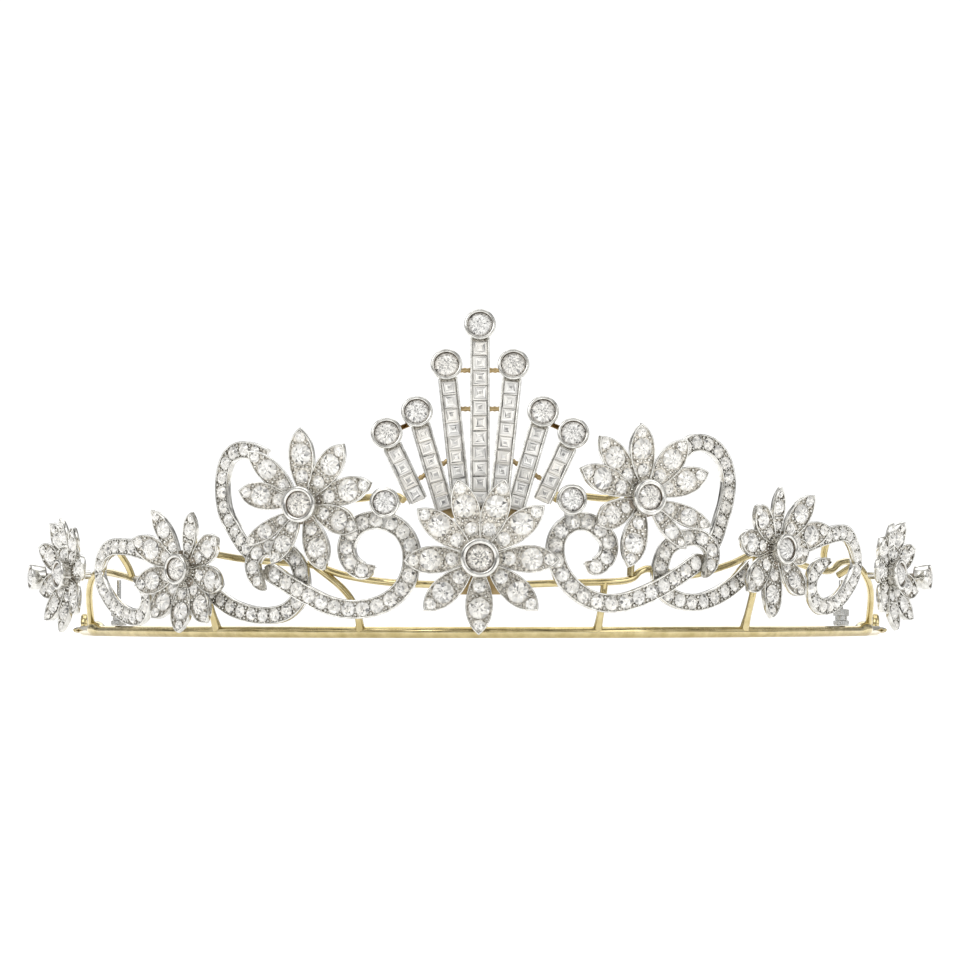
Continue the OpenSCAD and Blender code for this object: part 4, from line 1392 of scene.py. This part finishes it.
WIRES = (
    ((-104, 1.2, 0.3), (-100, 7.8, 2.2), (-94.7, 11.4, 3), (-88, 11.8, 3), (-80, 11, 3), (-74.9, 10.4, 3),
     (-69, 10.8, 3), (-62, 13, 3), (-54, 14.8, 3), (-42.4, 13.6, 3), (-32, 12.8, 3), (-28, 12.4, 3), (-22, 10.6, 3),
     (-14, 9.4, 3), (-3.5, 9, 3)),
    ((104, 1.2, 0.3), (100, 7.8, 2.2), (94.1, 11.6, 3), (88, 13.6, 3), (82.4, 13.4, 3), (78.4, 12, 3), (73, 12, 3),
     (66, 13, 3), (54, 14.8, 3), (46, 12.8, 3), (40, 11.3, 3), (35.6, 10.8, 3), (29.2, 11.8, 3), (27, 11.4, 3),
     (24.2, 9.8, 3), (14, 9.4, 3), (3.5, 9, 3)),
    ((-28, 12.4, 3), (-27.6, 22.8, 3), (-21.4, 23.6, 3), (-14.3, 24.2, 3), (-12.2, 23.4, 4)),
    ((25.2, 10.6, 3), (25.4, 24, 3), (20.6, 23.8, 3), (13.5, 24.4, 3), (12.2, 23.4, 4)),
    ((-77, 10.8, 3), (-77.2, 12.8, 3.8), (-77.4, 15.2, 5.4)), ((76, 12, 3), (73.8, 14.8, 3.8), (72.4, 17.4, 5.2)),
    ((-90, 11.8, 3), (-90, 11.6, 1.4), (-90, 11.2, -0.6)), ((90, 13.4, 3), (90, 12.4, 1.4), (90, 11.2, -0.6)),
)
STRUTS = (
    ((-20.8, 1, 0), (-20.8, 5, 2.2), (-23, 8.6, 3), (-28, 12.4, 3)), ((20.4, 1, 0), (20.4, 5.5, 2.2), (20.6, 9.6, 3)),
    ((-52, 1.4, 0.4), (-52, 8.6, 3), (-52, 14.8, 3)), ((52.4, 1.4, 0.4), (52.4, 10, 3), (52.4, 14.8, 3)),
)


@dataclass
class Tiara:
    """The whole jewel, built from its sub-assemblies in order."""

    scroll_width: float = 3.2
    ribbon_width: float = 3.0
    scroll_out: float = 6.1
    ribbon_out: float = 4.6

    def flowers(self) -> list[Flower]:
        """The seven flowers from their tables."""
        rows = (
            ("centre_flower", "centre_stone", (0, 13.5), 0, Collet(3.3, 3.0, 0.92, 0.35), CENTRE_PETALS, 0),
            ("left_large_flower", "left_large_stone", (-27.5, 22.7), -21, Collet(3.1, 3.0, 0.9), LEFT_LARGE, 0),
            ("right_large_flower", "right_large_stone", (25.4, 23.9), 23, Collet(3.05, 3.0, 0.9), RIGHT_LARGE, 0),
            ("left_middle_flower", "left_middle_stone", (-52, 11.9), -40, Collet(2.7, 3.0, 0.72), LEFT_MIDDLE, 0),
            ("right_middle_flower", "right_middle_stone", (52.4, 15.4), 44, Collet(2.7, 3.0, 0.72), RIGHT_MIDDLE, 0),
            ("left_end_flower", "left_end_stone", (-94.7, 11.4), -63, Collet(2.8, 3.0, 0.72), LEFT_END, -1),
            ("right_end_flower", "right_end_stone", (94.1, 11.4), 62, Collet(2.8, 3.0, 0.72), RIGHT_END, 1),
        )
        return [Flower(name, node, place, turn, collet, petals, 10 + k, side)
                for k, (name, node, place, turn, collet, petals, side) in enumerate(rows)]

    def bands(self) -> list[Band]:
        """The ribbons and curls."""
        w, out = self.ribbon_width, self.ribbon_out
        return [
            Band("left_ribbon", (Ribbon(LEFT_RING, w, out), Ribbon(LEFT_LOBE, w, out, first=HOOK)), 110),
            Band("right_ribbon", (Ribbon(RIGHT_RING, w, out), Ribbon(RIGHT_LOBE, w, out, first=HOOK)), 111),
            Band("left_curl", (Ribbon(LEFT_CURL, w, out, last=HOOK),), 112),
            Band("right_curl", (Ribbon(RIGHT_CURL, w, out, last=HOOK),), 113),
        ]

    def scrolls(self) -> list[Scroll]:
        """The two scrolls beside the centre flower."""
        w, out = self.scroll_width, self.scroll_out
        return [
            Scroll("left_scroll", Ribbon(LEFT_SCROLL, w, out, HOOK, ROUND_END), (-14.3, 22.9, 5.9, -12), 120),
            Scroll("right_scroll", Ribbon(RIGHT_SCROLL, w, out, HOOK, ROUND_END), (13.7, 23.4, 6.2, 12), 121),
        ]

    def build(self) -> None:
        """Makes every sub-assembly in order."""
        GoldFrame(WIRES, STRUTS).build()
        Fringe().build()
        for part in [*self.flowers(), *self.scrolls(), *self.bands(), ScrewPost(-1), ScrewPost(1)]:
            part.build()


def main() -> None:
    """Builds the tiara and the studio."""
    logging.basicConfig(level=logging.INFO, format="%(name)s %(message)s")
    Tiara().build()
    Studio().build()


if __name__ == "__main__":
    main()
